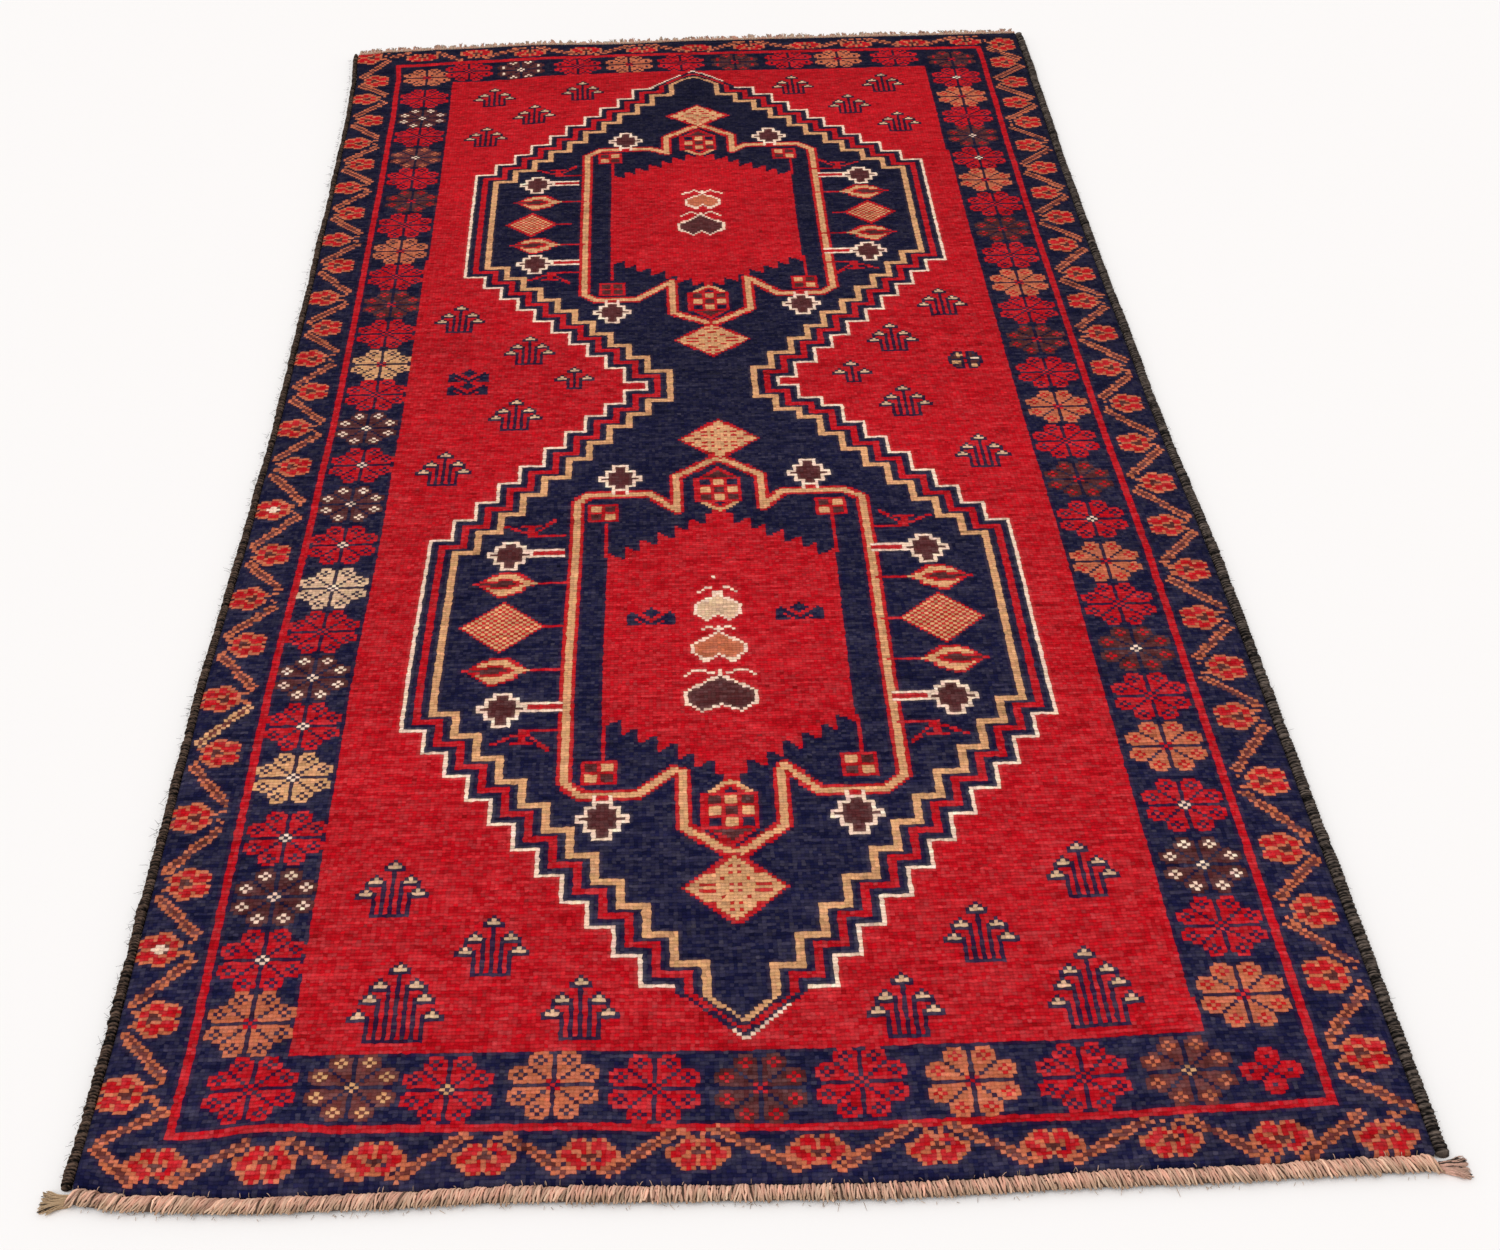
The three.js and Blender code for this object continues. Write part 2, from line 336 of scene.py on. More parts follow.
# The column of each side's rosettes, which drifts along the rug: (row, column).
LEFT_ROSETTE_LINE = [
    (43, 28.3), (125, 27.7), (187, 28.1), (247, 29.9), (310, 30.8), (450, 31.1), (502, 30.6), (560, 29.4),
]
RIGHT_ROSETTE_LINE = [(45, 242.5), (150, 242.1), (210, 241), (300, 240.6), (490, 240.5), (566, 241.5)]
ROSETTES_A_SIDE = 27


def tie_rosettes():
    """Every second rosette is red, and the others follow no rule."""
    looks = "rust brown tan brown beige brown brown tan dark rust dark worn brown rust".split()
    red_hearts = (0, 7, *range(13, 22), 23, 25, 26)
    for index, row in enumerate(places_along(ROSETTES_A_SIDE, LEFT_ROSETTES)):
        look = "red" if index % 2 else looks[index // 2]
        heart_yarn = "red" if index in red_hearts else "cream"
        rosette_of(np.interp(row, *zip(*LEFT_ROSETTE_LINE)), row, look, heart_yarn)
    for index, row in enumerate(places_along(ROSETTES_A_SIDE, RIGHT_ROSETTES)):
        look = "red" if index % 2 else "brown" if index == 2 else ("ember", "dark")[index // 2 % 2]
        heart_yarn = "cream" if index in (2, 3, 6, 9, 21, 22, 25) else "red"
        rosette_of(np.interp(row, *zip(*RIGHT_ROSETTE_LINE)), row, look, heart_yarn)
    looks = "red aged red rust red dark red ember red worn".split()
    for index, (look, place) in enumerate(zip(looks, NEAR_ROSETTES)):
        rosette_of(*place, look, "tan" if index in (1, 2, 9) else "red")
    looks = "red brown red rust red dark red rust red".split()
    for look, place in zip(looks, FAR_ROSETTES):
        rosette_of(*place, look, "cream" if look == "brown" else "red")
    quatrefoil(243.3, 23.4)


# The yarns of the petals and of their dots.
ROSETTE_LOOKS = {
    "red": ("red", "navy"),
    "rust": ("rust", "navy"),
    "ember": ("rust", "red"),
    "tan": ("tan", "navy"),
    "beige": ("beige", "navy"),
    "brown": ("brown", "cream"),
    "worn": ("russet", "rust"),
    "aged": ("russet", "tan"),
    "dark": ("brown", "red"),
}


def rosette_of(column, row, look, heart):
    petals, dots = ROSETTE_LOOKS[look]
    rosette(column, row, petals, dots, heart, heart == "red" and look != "red")


END_FLOWER = [
    "...oro.oro...",
    "..orrrorrro..",
    ".oorrrorrroo.",
    "orroorororrro",
    "orrrobbborrro",
    "oorrrobo.rroo",
    "..orrrorrro..",
    "...oro.oro...",
]
SIDE_FLOWER = [
    "..oro.oro..",
    ".orrrorrro.",
    ".orrrorrro.",
    ".oorrorroo.",
    "orrroborrro",
    "orrrobborro",
    "oorobbborro",
    ".oorrorroo.",
    "..orrorro..",
    "...oo.oo...",
]
LOW_FLOWER = [row for place, row in enumerate(END_FLOWER) if place not in (0, 2, 6)]


def flower(column, row, turned, flip, heart="brown"):
    """Six lobes round a small heart. The stem points down before the flower is turned."""
    spot = Spot(column, row, 8, flip=flip, mirror=flip if turned else 1, turned=turned)
    if turned:
        spot.draw(SIDE_FLOWER, 0, -5)
    elif row > FOLD_ROW:
        spot.draw(LOW_FLOWER, 0, -2)
    else:
        spot.draw(END_FLOWER, 0, -4)
    if heart != "brown":
        spot.tie(spot.disc(0, -0.5, 1.8), heart)


def vine_stroke(start, end, paler=False):
    """A thick run of the vine: a dark core between two lighter edges."""
    gap = distance(across, along, [start, end])
    beaded = (knot_row.astype(int) + knot_column.astype(int)) % 3 > 0
    tie((gap < 1.1) | ((gap < 1.4) & beaded), "tan" if paler else "rust")
    tie(gap < 0.56, "russet")


def tendril(points):
    """A thin dotted line from the end of a stroke to the base of a flower."""
    dotted = (knot_row.astype(int) + knot_column.astype(int)) % 3 > 0
    tie((distance(across, along, points) < 0.6) & dotted, "rust")


def tie_vine(places, centres, rails, put, turned, hearts=(), pale_runs=()):
    """The vine along one side of the rug, swinging between an outer and an inner rail past each flower.

    places run along the side; put turns (along, in from the edge) into chart columns and rows. A stroke ends
    spread knots short of a flower's place, and tendrils reach from there to the flower's base."""
    spread = 4.6
    for index, place in enumerate(places):
        inward = index % 2 == 0
        rail = rails[inward]
        base = centres[inward] + (4 if inward else -4)
        for side in (-1, 1):
            path = [(spread, rail), (spread - 2.6, rail), (0.6, base)]
            tendril([put(place + side * offset, depth) for offset, depth in path])
        if index:
            start = put(places[index - 1] + spread, rails[not inward])
            vine_stroke(start, put(place - spread, rail), paler=index in pale_runs)
    for index, place in enumerate(places):
        inward = index % 2 == 0
        column, row = put(place, centres[inward])
        axis = 0 if turned else 1
        deeper = 1 if put(0, 1)[axis] > put(0, 0)[axis] else -1
        flip = -deeper if inward else deeper
        flower(column, row, turned, flip, "cream" if index in hearts else "brown")


FLOWERS_A_SIDE = 27
# Flowers up the sides: (number, row). Flowers along the ends: their columns.
LEFT_FLOWERS = [
    (0, 24.7), (3, 88.3), (5, 135.2), (7, 180.4), (9, 222.7), (11, 268.7), (14, 333.7), (16, 374), (17, 397),
    (20, 459.7), (22, 498.7), (24, 540.7), (25, 558.2), (26, 582.7),
]
RIGHT_FLOWERS = [
    (0, 27.7), (1, 50.1), (3, 91.7), (4, 115.7), (5, 140.5), (6, 160.7), (9, 226.5), (12, 293.1), (15, 359.5),
    (16, 378.2), (17, 400.9), (20, 462.3), (22, 502.7), (25, 561.9), (26, 581),
]
NEAR_FLOWERS = [36.2, 58.7, 80.4, 101.2, 123.2, 147.9, 171.2, 194.4, 219.2, 240.9, 262.4]
FAR_FLOWERS = [48, 69.3, 92.8, 115.4, 137.9, 160, 182.7, 204.4, 227.2, 249.2]


# Where the vine turns the corners of the rug: strokes from (column, row) to (column, row).
CORNER_STROKES = [
    [(13.4, 19.5), (1.6, 12)], [(1.4, 10), (9.5, 1.2)], [(18.5, 1), (32, 11.2)],
    [(269.4, 13), (257.6, 21.2)], [(13.5, 583), (20, 587)], [(32, 586.5), (41.2, 578.4)],
]


def tie_vines():
    def left(row, depth):
        return depth + float(through(row, LEFT_DRIFT)), row

    def right(row, depth):
        return KNOTS_ACROSS - depth + float(through(row, RIGHT_DRIFT)), row

    def near(column, depth):
        return column, depth

    def far(column, depth):
        return column, KNOT_ROWS - depth + 0.8 * float(through(column, FAR_EDGE)) - 2.4

    left_rows = places_along(FLOWERS_A_SIDE, LEFT_FLOWERS)
    right_rows = places_along(FLOWERS_A_SIDE, RIGHT_FLOWERS)
    tie_vine(left_rows, (8.5, 4.8), (2.2, 12.2), left, True, hearts=(2, 10), pale_runs=(6,))
    tie_vine(right_rows, (9.5, 6.4), (2.6, 13.2), right, True)
    tie_vine(NEAR_FLOWERS, (6.3, 4.6), (1.2, 11.0), near, False)
    tie_vine(FAR_FLOWERS, (3.3, 3.1), (0.2, 8.0), far, False)
    for start, end in CORNER_STROKES:
        vine_stroke(start, end)
    tendril([(9.5, 1.2), (12, 1.2), (13.5, 3)])
    tendril([(18.5, 1), (16, 1), (14.5, 3)])
    flower(14, 6.2, False, 1)
    flower(26, 580.5, False, -1)


# ---- Field: shrubs, crowns and a small rosette ----
SHRUB_HEAD = [
    "...n...",
    "..nsn..",
    ".nsssn.",
    ".nnnnn.",
]


def shrub(column, row, heads):
    """Stems from a base line: the middle one is the tallest, and each pair bends outwards to a head."""
    pairs = heads // 2
    spot = Spot(column, row, 25)
    top = 5 * pairs + 5
    spot.tie(spot.line([(-2 * pairs, 0), (2 * pairs, 0)], 1.1), "navy")
    spot.tie(spot.line([(0, 0), (0, top)], 1.0), "navy")
    places = [(0, top)]
    for pair in range(1, pairs + 1):
        height = top - 5 * pair + (pair > 1)
        reach = 2 * pair + 2
        for side in (-1, 1):
            bend = [(side * 2 * pair, 0), (side * 2 * pair, height), (side * reach, height)]
            spot.tie(spot.line(bend, 1.0), "navy")
            places.append((side * reach, height))
    for u, v in places:
        spot.draw(SHRUB_HEAD, u, v)


CROWN = [
    "......n......",
    ".....nnn.....",
    ".n..nnnnn..n.",
    "nnn..nnn..nnn",
    "nnnn..n..nnnn",
    "nn.nn...nnnnn",
    "nnn.nn.nn.nnn",
    "nnnn.nnn.nnnn",
]
LITTLE_BLOOM = [
    "..nnn.nnn..",
    ".nntn.nbnn.",
    ".nbttrnbbn.",
    "nbbtnrnbnnn",
    "nbbbnnncccn",
    "nnnnnrnnnnn",
    "ntttnrnbbbn",
    "ntttnnnbbnn",
    ".nnbnrnttn.",
    ".nbbn.nttn.",
    "..nnn.nnn..",
]


# Column and row of each shrub's foot, and how many heads it has.
SHRUBS = [
    (54.8, 75.8, 5), (78.8, 57, 5), (59.5, 37.4, 7), (98.8, 37, 5), (214.2, 77.5, 5), (188.5, 57, 5),
    (210, 37, 7), (169.3, 36, 5), (54.8, 256.2, 5), (75.6, 286, 5), (215, 259.6, 5), (195.3, 289.8, 5),
    (92.5, 310.2, 3),
    (78.2, 326, 5), (54.3, 348.3, 5), (180.3, 310.5, 3), (194.8, 329, 5), (213.3, 352.8, 5), (55.7, 493.2, 5),
    (73.6, 513.7, 5), (57.6, 531.2, 5), (91.9, 534.5, 5), (175, 536, 5), (211, 535.5, 5), (196.6, 515.6, 5),
    (213.8, 498.5, 5),
]


def crown(column, row):
    Spot(column, row, 10).draw(CROWN)


def tie_field():
    for place in SHRUBS:
        shrub(*place)
    for row in (308.3, 316.8):
        crown(60, row)
    Spot(216.2, 322.3, 7).draw(LITTLE_BLOOM, 0, -5)


# ---- Medallions ----
def stairs(column, row, run, rise, steps):
    """Corners of a stepped edge: upright, then a run to the next upright."""
    corners = []
    for step in range(steps):
        corners += [(column + run * step, row + rise * step), (column + run * step, row + rise * (step + 1))]
    return corners


def medallion_edge():
    left = (
        stairs(111.5, 52, -6, 8.95, 10)
        + [(51.5, 141.5), (53, 228.5)]
        + stairs(59, 228.5, 6.25, 9.4, 7)
        + [(102.5, 294.3), (102.5, 301), (108.5, 301), (108.5, 309), (114.5, 309), (114.5, 313)]
        + [(108.5, 313), (108.5, 322.5)]
        + stairs(102.5, 322.5, -6, 7.95, 8)
        + [(54.3, 386), (53.7, 468)]
        + stairs(60.5, 468, 6.4, 8.4, 9)
    )
    right = (
        stairs(155.5, 50.5, 6.25, 9.25, 10)
        + [(218, 143), (218, 231.5)]
        + stairs(212, 231.5, -6.1, 9.3, 7)
        + [(170, 296.6), (170, 302.5), (163.5, 302.5), (163.5, 310), (157.5, 310), (157.5, 313.5)]
        + [(163.5, 313.5), (163.5, 323)]
        + stairs(170, 323, 6, 8.55, 8)
        + [(218.5, 391.4), (219, 472.5)]
        + stairs(211.7, 472.5, -6.45, 7.95, 9)
    )
    far_tip = [(118.5, 543.6), (125, 551), (131, 557.5), (136, 561), (142, 557.3), (148, 550), (152.5, 544.2)]
    return [(134.3, 35.3), (118.5, 51)] + left + far_tip + right[::-1] + [(149.5, 50)]


medallion = inside_polygon(knot_column, knot_row, on_chart(medallion_edge()))


def medallion_inside(columns, rows):
    """The medallion without its outer band. Its two points keep their own thinner band."""
    near = abs(across - 134.3)
    near_tip = (near < 15.5 - columns) & (along > 35.6 + 0.72 * columns + 0.95 * near) & (along < 61)
    far = abs(across - 136)
    slope = 1.06 * far - 2.2 * (1 - np.exp(-far / 3))
    far_tip = (far < 17 - columns) & (along < 560.6 - 0.72 * columns - slope) & (along > 536)
    return shrink(medallion, columns, rows) | near_tip | far_tip


medallion_ground = medallion_inside(9, 8)
FRAME_LINES = {
    "near": [
        (134.5, 94), (123, 103.5), (123, 123.5), (121, 125.3), (112, 116), (98, 116), (93.5, 121), (94, 245),
        (98.5, 249), (116, 249), (124, 240.5), (124.5, 258.5), (136.3, 267.5), (148, 258.5), (148, 241),
        (154, 249), (172.5, 249), (177.3, 245), (177, 121), (171.5, 116), (156, 116), (148, 125.5),
        (147, 123.5), (147, 103.5), (134.5, 94),
    ],
    "far": [
        (137, 350), (125, 358.5), (124.7, 379.5), (113, 368), (99.5, 368), (95.3, 372), (95.2, 482),
        (100, 486.7), (118, 486.7), (124.8, 483.5), (125, 497.5), (136.8, 508), (148.8, 497.5), (149, 484),
        (154, 488.7), (173.5, 488.7), (178.7, 484), (178.6, 374.5), (175, 370.5), (160, 370.5), (150, 382),
        (149.5, 360), (137, 350),
    ],
}
frame_places = {half: on_chart(line) for half, line in FRAME_LINES.items()}
frame_gap = {half: distance(knot_column, knot_row, line) for half, line in frame_places.items()}
frame_inside = {half: inside_polygon(knot_column, knot_row, line[:-1]) for half, line in frame_places.items()}


def tie_medallions():
    tie(medallion, "cream")
    for columns, rows, yarn in ((1, 1, "navy"), (3, 3, "red"), (5, 5, "navy"), (7, 6, "tan"), (9, 8, "navy")):
        tie(medallion_inside(columns, rows), yarn)
    for gap in frame_gap.values():
        tie(gap < 2.0, "red")
        tie(gap < 1.0, "tan")


def panel(left, right, low, high, step):
    """A red panel whose top and bottom edges are saw-toothed and slope towards a stem in the middle."""
    (left, low), (right, high) = on_chart([(left, low), (right, high)])
    tooth_width, tooth_depth, teeth_a_side = 4.65, 3.2, 7
    reach = np.minimum(knot_column - left, right - knot_column)
    tooth = np.floor(reach / tooth_width)
    bite = reach / tooth_width - tooth
    lowest = low - step * tooth + tooth_depth * bite
    highest = high + step * tooth - tooth_depth * bite
    tie((reach > 0) & (knot_row > lowest) & (knot_row < highest), "red")
    peak = teeth_a_side * step + 2
    stem = (knot_row > low - peak) & (knot_row < high + peak)
    tie((abs(knot_column - (left + right) / 2) < 1.6) & stem, "red")


def check_square(column, row, yarns):
    """Four cells, top left, top right, bottom left and bottom right, in a red grid."""
    spot = Spot(column, row, 6)
    spot.tie(spot.box(0, 0, 4.5, 4.5), "red")
    cells = [(-1.9, 1.9), (1.9, 1.9), (-1.9, -1.9), (1.9, -1.9)]
    for (u, v), yarn in zip(cells, yarns):
        spot.tie(spot.box(u, v, 1.4, 1.4), yarn)


def neck_hexagon(column, row, flip):
    spot = Spot(column, row, 25, flip=flip)
    spot.tie(spot.shape([(0, -0.5), (7, 6), (7, 18), (0, 23.5), (-7, 18), (-7, 6)]), "red")
    spot.tie(spot.shape([(0, 1.5), (-4.9, 5.6), (4.9, 5.6)]), "brown")
    rows = [(16.1, "brown", "tan"), (12, "tan", "brown"), (8, "navy", "tan")]
    for height, outer, middle in rows:
        for u, yarn in ((-4.3, outer), (0, middle), (4.3, outer)):
            spot.tie(spot.box(u, height, 1.6, 1.5), yarn)
    spot.tie(spot.shape([(-2, 18.6), (2, 18.6), (0, 21)]), "navy")
    spot.tie(spot.line([(-5, 18.9), (0, 22.7), (5, 18.9)], 1.4), "tan")


def lattice_diamond(column, row, half_width, half_height):
    spot = Spot(column, row, 15)
    p = spot.u / half_width + spot.v / half_height
    q = spot.u / half_width - spot.v / half_height
    rim = np.maximum(abs(p), abs(q))
    spot.tie(rim < 1, "red")
    spot.tie(rim < 0.88, "tan")
    crossing = np.minimum(abs((p * 2 + 0.5) % 1 - 0.5), abs((q * 2 + 0.5) % 1 - 0.5))
    spot.tie((rim < 0.88) & (crossing < 0.11) & (spot.rows % 2 == 0), "red")


def hatched_diamond(column, row, half, frame_side):
    spot = Spot(column, row, 18)
    rim = (abs(spot.u) + abs(spot.v)) / half
    stem = (spot.u * frame_side > 0) & (abs(spot.v) < 0.6) & (abs(spot.u) < half + 4.5)
    spot.tie(stem | (rim < 1), "red")
    hatch = (spot.rows + spot.columns) % 2 == 0
    spot.tie((rim < 0.88) & hatch, "tan")


CROSS = [
    "....ccccc....",
    "....cbbbc....",
    "..cccbbbccc..",
    "..cbbbbbbbc..",
    "..cbbbbbbbc..",
    "cccbbbbbbbccc",
    "cbbbbbbbbbbbc",
    "cccbbbbbbbccc",
    "..cbbbbbbbc..",
    "..cbbbbbbbc..",
    "..cccbbbccc..",
    "....cbbbc....",
    "....cbbbc....",
    "....ccccc....",
]


def stepped_cross(column, row, prongs=0):
    spot = Spot(column, row, 10, flip=prongs or 1)
    if prongs:
        spot.tie(spot.box(0, 7.5, 1.5, 1.2), "red")
        for u in (-2, 2):
            spot.tie(spot.box(u, 7.5, 1, 1.2), "cream")
    spot.draw(CROSS, 0, -7)


def striped_stem(column, row, side):
    """Two cream lines with red between them, from a cross to the frame."""
    spot = Spot(column, row, 16, mirror=side)
    spot.tie(spot.box(10, 0.5, 5.6, 2), "cream")
    spot.tie(spot.box(10, 0.5, 5.6, 1), "red")


EYE = [
    ".......rrrrrr.....",
    ".....rrtttttrr....",
    "....rttttttttrr...",
    "...rtttrrrrtttrr..",
    "..rrrrrbbbbrrtttr.",
    "rrbbbbbbbbbbrrtttt",
    "..rrrbbbbbrrrtttr.",
    "...rtrrrrrrtttr...",
    "....rtttttttttr...",
    ".....rttttttrr....",
    "......rtttrr......",
    ".......rrr........",
]


def eye(column, row, frame_side):
    """A lens with a crescent of tan towards the frame, tied to it by a thin stem."""
    spot = Spot(column, row, 17, mirror=frame_side)
    spot.tie(spot.box(12, 0, 6, 0.9), "red")
    spot.draw(EYE, 0, -6)


def branch(column, row, frame_side, flip):
    spot = Spot(column, row, 14, mirror=frame_side, flip=flip)
    strokes = (
        [(-0.5, 4), (9, 3.6)],
        [(-7.5, -1), (-4, 1.2), (0, 3.4), (6, -3.6)],
        [(-0.5, 3.5), (-0.5, -0.5)],
        [(-3, -1.3), (-0.5, -0.4), (2.5, -1.4)],
    )
    for stroke in strokes:
        spot.tie(spot.line(stroke, 1.15), "red")


def heart(column, row, half_width, shoulders, height, lobe, yarn, feeler):
    """A heart with its point up and two lobes below, in a thin cream outline, with two bent feelers.

    shoulders are the rows where each side is upright, and feeler is its bend and its tip."""
    spot = Spot(column, row, 24)
    right = [(lobe, 0), (half_width, shoulders[0]), (half_width, shoulders[1]), (0, height)]
    outline = [(0, 3)] + right
    spot.tie(spot.shape([(-u, v) for u, v in outline[:0:-1]] + outline), yarn)
    for side in (-1, 1):
        spot.tie(spot.line([(side * u, v) for u, v in outline], 0.9), "cream")
        path = [(side * u, height + v) for u, v in [(1, 0.5)] + feeler]
        spot.tie(spot.line(path, 0.8), "cream")
    spot.tie(spot.box(0, height + 1, 0.6, 1.2), "cream")


def post(column, low, high):
    """A thin red line from a panel's corner to its check square."""
    half = (high - low) / 2
    spot = Spot(column, low + half, 12)
    spot.tie(spot.box(0, 0, 1, half), "red")


TAN_FIRST, DARK_FIRST = ("tan", "brown", "brown", "tan"), ("brown", "tan", "tan", "brown")
SIDE_CROSSES = [
    (77, 150.7, 1), (192.5, 151, -1), (76.5, 219.7, 1), (192.6, 218.9, -1),
    (78.3, 395, 1), (192.8, 399.7, -1), (76.5, 457.8, 1), (194.5, 460.2, -1),
]
MEDALLION_MOTIFS = [
    (panel, [(102.5, 167.5, 142.3, 219, 3.3), (104, 170, 393, 464.5, 2.8)]),
    (post, [
        (103, 128, 145), (167.5, 128, 145), (103.5, 216, 234), (167.5, 216, 236),
        (104, 381, 397), (170.3, 381, 397), (104.5, 460, 475), (170, 461, 477),
    ]),
    (check_square, [
        (102.3, 124.5, DARK_FIRST), (166.2, 125, TAN_FIRST), (102.8, 239.2, TAN_FIRST),
        (167.3, 240.5, DARK_FIRST), (104.3, 375.7, ("brown",) * 4), (169.5, 377.9, TAN_FIRST),
        (103.3, 479, DARK_FIRST), (168.5, 480.7, TAN_FIRST),
    ]),
    (neck_hexagon, [(134.2, 97.3, 1), (136, 262, -1), (137.2, 353.2, 1), (137.2, 503.5, -1)]),
    (lattice_diamond, [
        (134.3, 83, 13, 12), (136.6, 278.5, 13, 11.8), (136.8, 339.2, 13, 11.2), (136.6, 517, 12.4, 10.4),
    ]),
    (hatched_diamond, [
        (76, 185.5, 12, 1), (193.2, 185.7, 11.6, -1), (76, 425.5, 10, 1), (195.7, 429.5, 9.2, -1),
    ]),
    (stepped_cross, [
        (103.5, 107.2, 1), (164.2, 107, 1), (107.7, 257.7, -1), (162.8, 258.2, -1),
        (105, 359.2, 1), (167.7, 362.5, 1), (109.3, 494.5, -1), (163.3, 496.7, -1),
    ]),
    (striped_stem, SIDE_CROSSES),
    (stepped_cross, [(column, row) for column, row, _ in SIDE_CROSSES]),
    (eye, [
        (76, 166.8, 1), (76, 205.5, 1), (77.8, 409.3, 1), (77.7, 443.3, 1),
        (193.8, 167.5, -1), (194.2, 204.9, -1), (194.4, 413.5, -1), (194.3, 446.7, -1),
    ]),
    (branch, [
        (83, 137, 1, 1), (186.4, 137.4, -1, 1), (82.9, 232.6, 1, -1), (187.7, 233.3, -1, -1),
        (84.2, 384.8, 1, 1), (187.2, 387.6, -1, 1), (84.2, 469.6, 1, -1), (187.2, 470.6, -1, -1),
    ]),
    (heart, [
        (133.1, 147.4, 8.6, (3.2, 8.6), 15, 5, "brown", [(6.6, 2.6), (10, -0.6)]),
        (133.4, 168.4, 6.6, (3.4, 7.2), 13, 3.6, "rust", [(2.6, 2.4), (5, 0.4)]),
        (133.6, 186.2, 6, (3, 7.4), 11.6, 2.6, "beige", [(2, 3.8), (4.8, 1.4)]),
        (136.2, 414.4, 7.8, (4.4, 9), 15.6, 3.3, "brown", [(3.4, 3), (7, -0.4)]),
        (136.3, 435.6, 5.8, (3.4, 7.4), 12, 2.4, "rust", [(3, 2.8), (6.8, 0)]),
    ]),
    (crown, [(115.5, 185.2), (155.7, 186)]),
]


def tie_medallion_motifs():
    for motif, places in MEDALLION_MOTIFS:
        for place in places:
            motif(*place)
    Spot(133.2, 206.4, 1).draw(["c"])


tie_grounds()
tie_rosettes()
tie_vines()
tie_field()
tie_medallions()
tie_medallion_motifs()

# ---- The chart's zones, one for each piece of pile ----
frame_band = np.minimum(frame_gap["near"], frame_gap["far"]) < 2.0
inside_frames = frame_inside["near"] | frame_inside["far"]
zones = {
    "vine": ~inside_vine,
    "guard": inside_vine & ~inside_guard,
    "rosette": inside_guard & ~inside_rosettes,
    "field": inside_rosettes & ~medallion,
    "outline": medallion & ~medallion_ground,
    "ground": medallion & medallion_ground & ~frame_band & ~inside_frames,
    "frame": medallion & medallion_ground & frame_band,
    "panel": medallion & medallion_ground & ~frame_band & inside_frames,
}


# ---- Shade of every knot ----
def smooth_noise(rows, columns):
    """Random values that change smoothly over the chart, between about -1 and 1."""
    coarse = random.normal(0, 0.5, (rows, columns))
    row = np.linspace(0, rows - 1, KNOT_ROWS)
    column = np.linspace(0, columns - 1, KNOTS_ACROSS)
    low_row = np.minimum(row.astype(int), rows - 2)
    low_column = np.minimum(column.astype(int), columns - 2)
    s = ease(row - low_row, 0, 1)[:, None]
    t = ease(column - low_column, 0, 1)[None, :]

    def value(up, over):
        return coarse[np.ix_(low_row + up, low_column + over)]

    below = value(0, 0) * (1 - t) + value(0, 1) * t
    above = value(1, 0) * (1 - t) + value(1, 1) * t
    return below * (1 - s) + above * s


def knot_colours():
    """Bands of paler and darker dyeing, short streaks along the rows, and wool tips worn pale here and there.

    As painted light, the navy is lighter at the near end and darker at the far end, and the pale tips are
    strongest at the near end."""
    navy_light_falloff, tip_wear_and_light_falloff = (1.55, 0.75), (0.019, 0.006)
    worn_tip = np.array((1.0, 0.85, 0.85))
    colours = np.array(list(YARNS.values()))[chart]
    # Painted light: the navy is lightened towards the near end and darkened towards the far end, for light
    # that falls off along the rug.
    navy_painted_light = np.linspace(*navy_light_falloff, KNOT_ROWS)[:, None] * np.ones(KNOTS_ACROSS)
    colours *= np.where(chart == YARN_NAMES.index("navy"), navy_painted_light, 1)[..., None]
    abrash = 0.07 * smooth_noise(290, 5) + 0.06 * smooth_noise(60, 3) + 0.07 * smooth_noise(14, 7)
    streaks = smooth_noise(KNOT_ROWS, 70)
    speckle = random.normal(0, 0.12, chart.shape) + 0.20 * streaks
    colours = colours * (1 + abrash + speckle)[..., None]
    colours *= 1 + random.normal(0, 0.03, chart.shape + (3,))
    worn = np.clip(0.6 * random.normal(0, 1, chart.shape) + 0.9 * streaks, -0.6, 2.5) + 0.5
    # Painted light and wear: the pale tips vary at random as wear, and are made stronger at the near end for
    # light that falls off along the rug.
    tip_wear_and_painted_light = np.linspace(*tip_wear_and_light_falloff, KNOT_ROWS)[:, None] * worn
    return np.clip(colours + tip_wear_and_painted_light[..., None] * worn_tip, 0.002, 1)


knot_paint = knot_colours()


def corner_paint(paint, bleed):
    """Each knot's colour at its four corners, with a little of its neighbours' where their tufts mingle."""
    around = np.pad(paint, ((1, 1), (1, 1), (0, 0)), mode="edge")
    mingled = (around[:-1, :-1] + around[1:, :-1] + around[:-1, 1:] + around[1:, 1:]) / 4
    corners = np.stack([mingled[:-1, :-1], mingled[:-1, 1:], mingled[1:, 1:], mingled[1:, :-1]], axis=2)
    return paint[:, :, None, :] * (1 - bleed) + corners * bleed


# ---- Shape of the pile ----
grid_row, grid_column = np.mgrid[0 : KNOT_ROWS + 1, 0 : KNOTS_ACROSS + 1]
grid_index = grid_row * (KNOTS_ACROSS + 1) + grid_column
KNOT_CORNERS = np.stack(
    [grid_index[:-1, :-1], grid_index[:-1, 1:], grid_index[1:, 1:], grid_index[1:, :-1]], axis=2
)


def knot_grid(height, sway, rise):
    """Corners of all the knots: swaying a little from true rows, and rising and falling a little."""
    x = cloth_low.x + grid_column * knot_width
    y = cloth_low.y + grid_row * knot_length
    inner = (grid_column > 0) & (grid_column < KNOTS_ACROSS)
    x = x + inner * random.normal(0, sway * knot_width, x.shape)
    open_rows = (grid_row > 0) & (grid_row < KNOT_ROWS) & (grid_row != FOLD_ROW)
    y = y + open_rows * random.normal(0, sway * knot_length, y.shape)
    z = height + np.clip(random.normal(0, rise, x.shape), -2 * rise, 2 * rise)
    return laid(np.stack([x, y, z], axis=2))


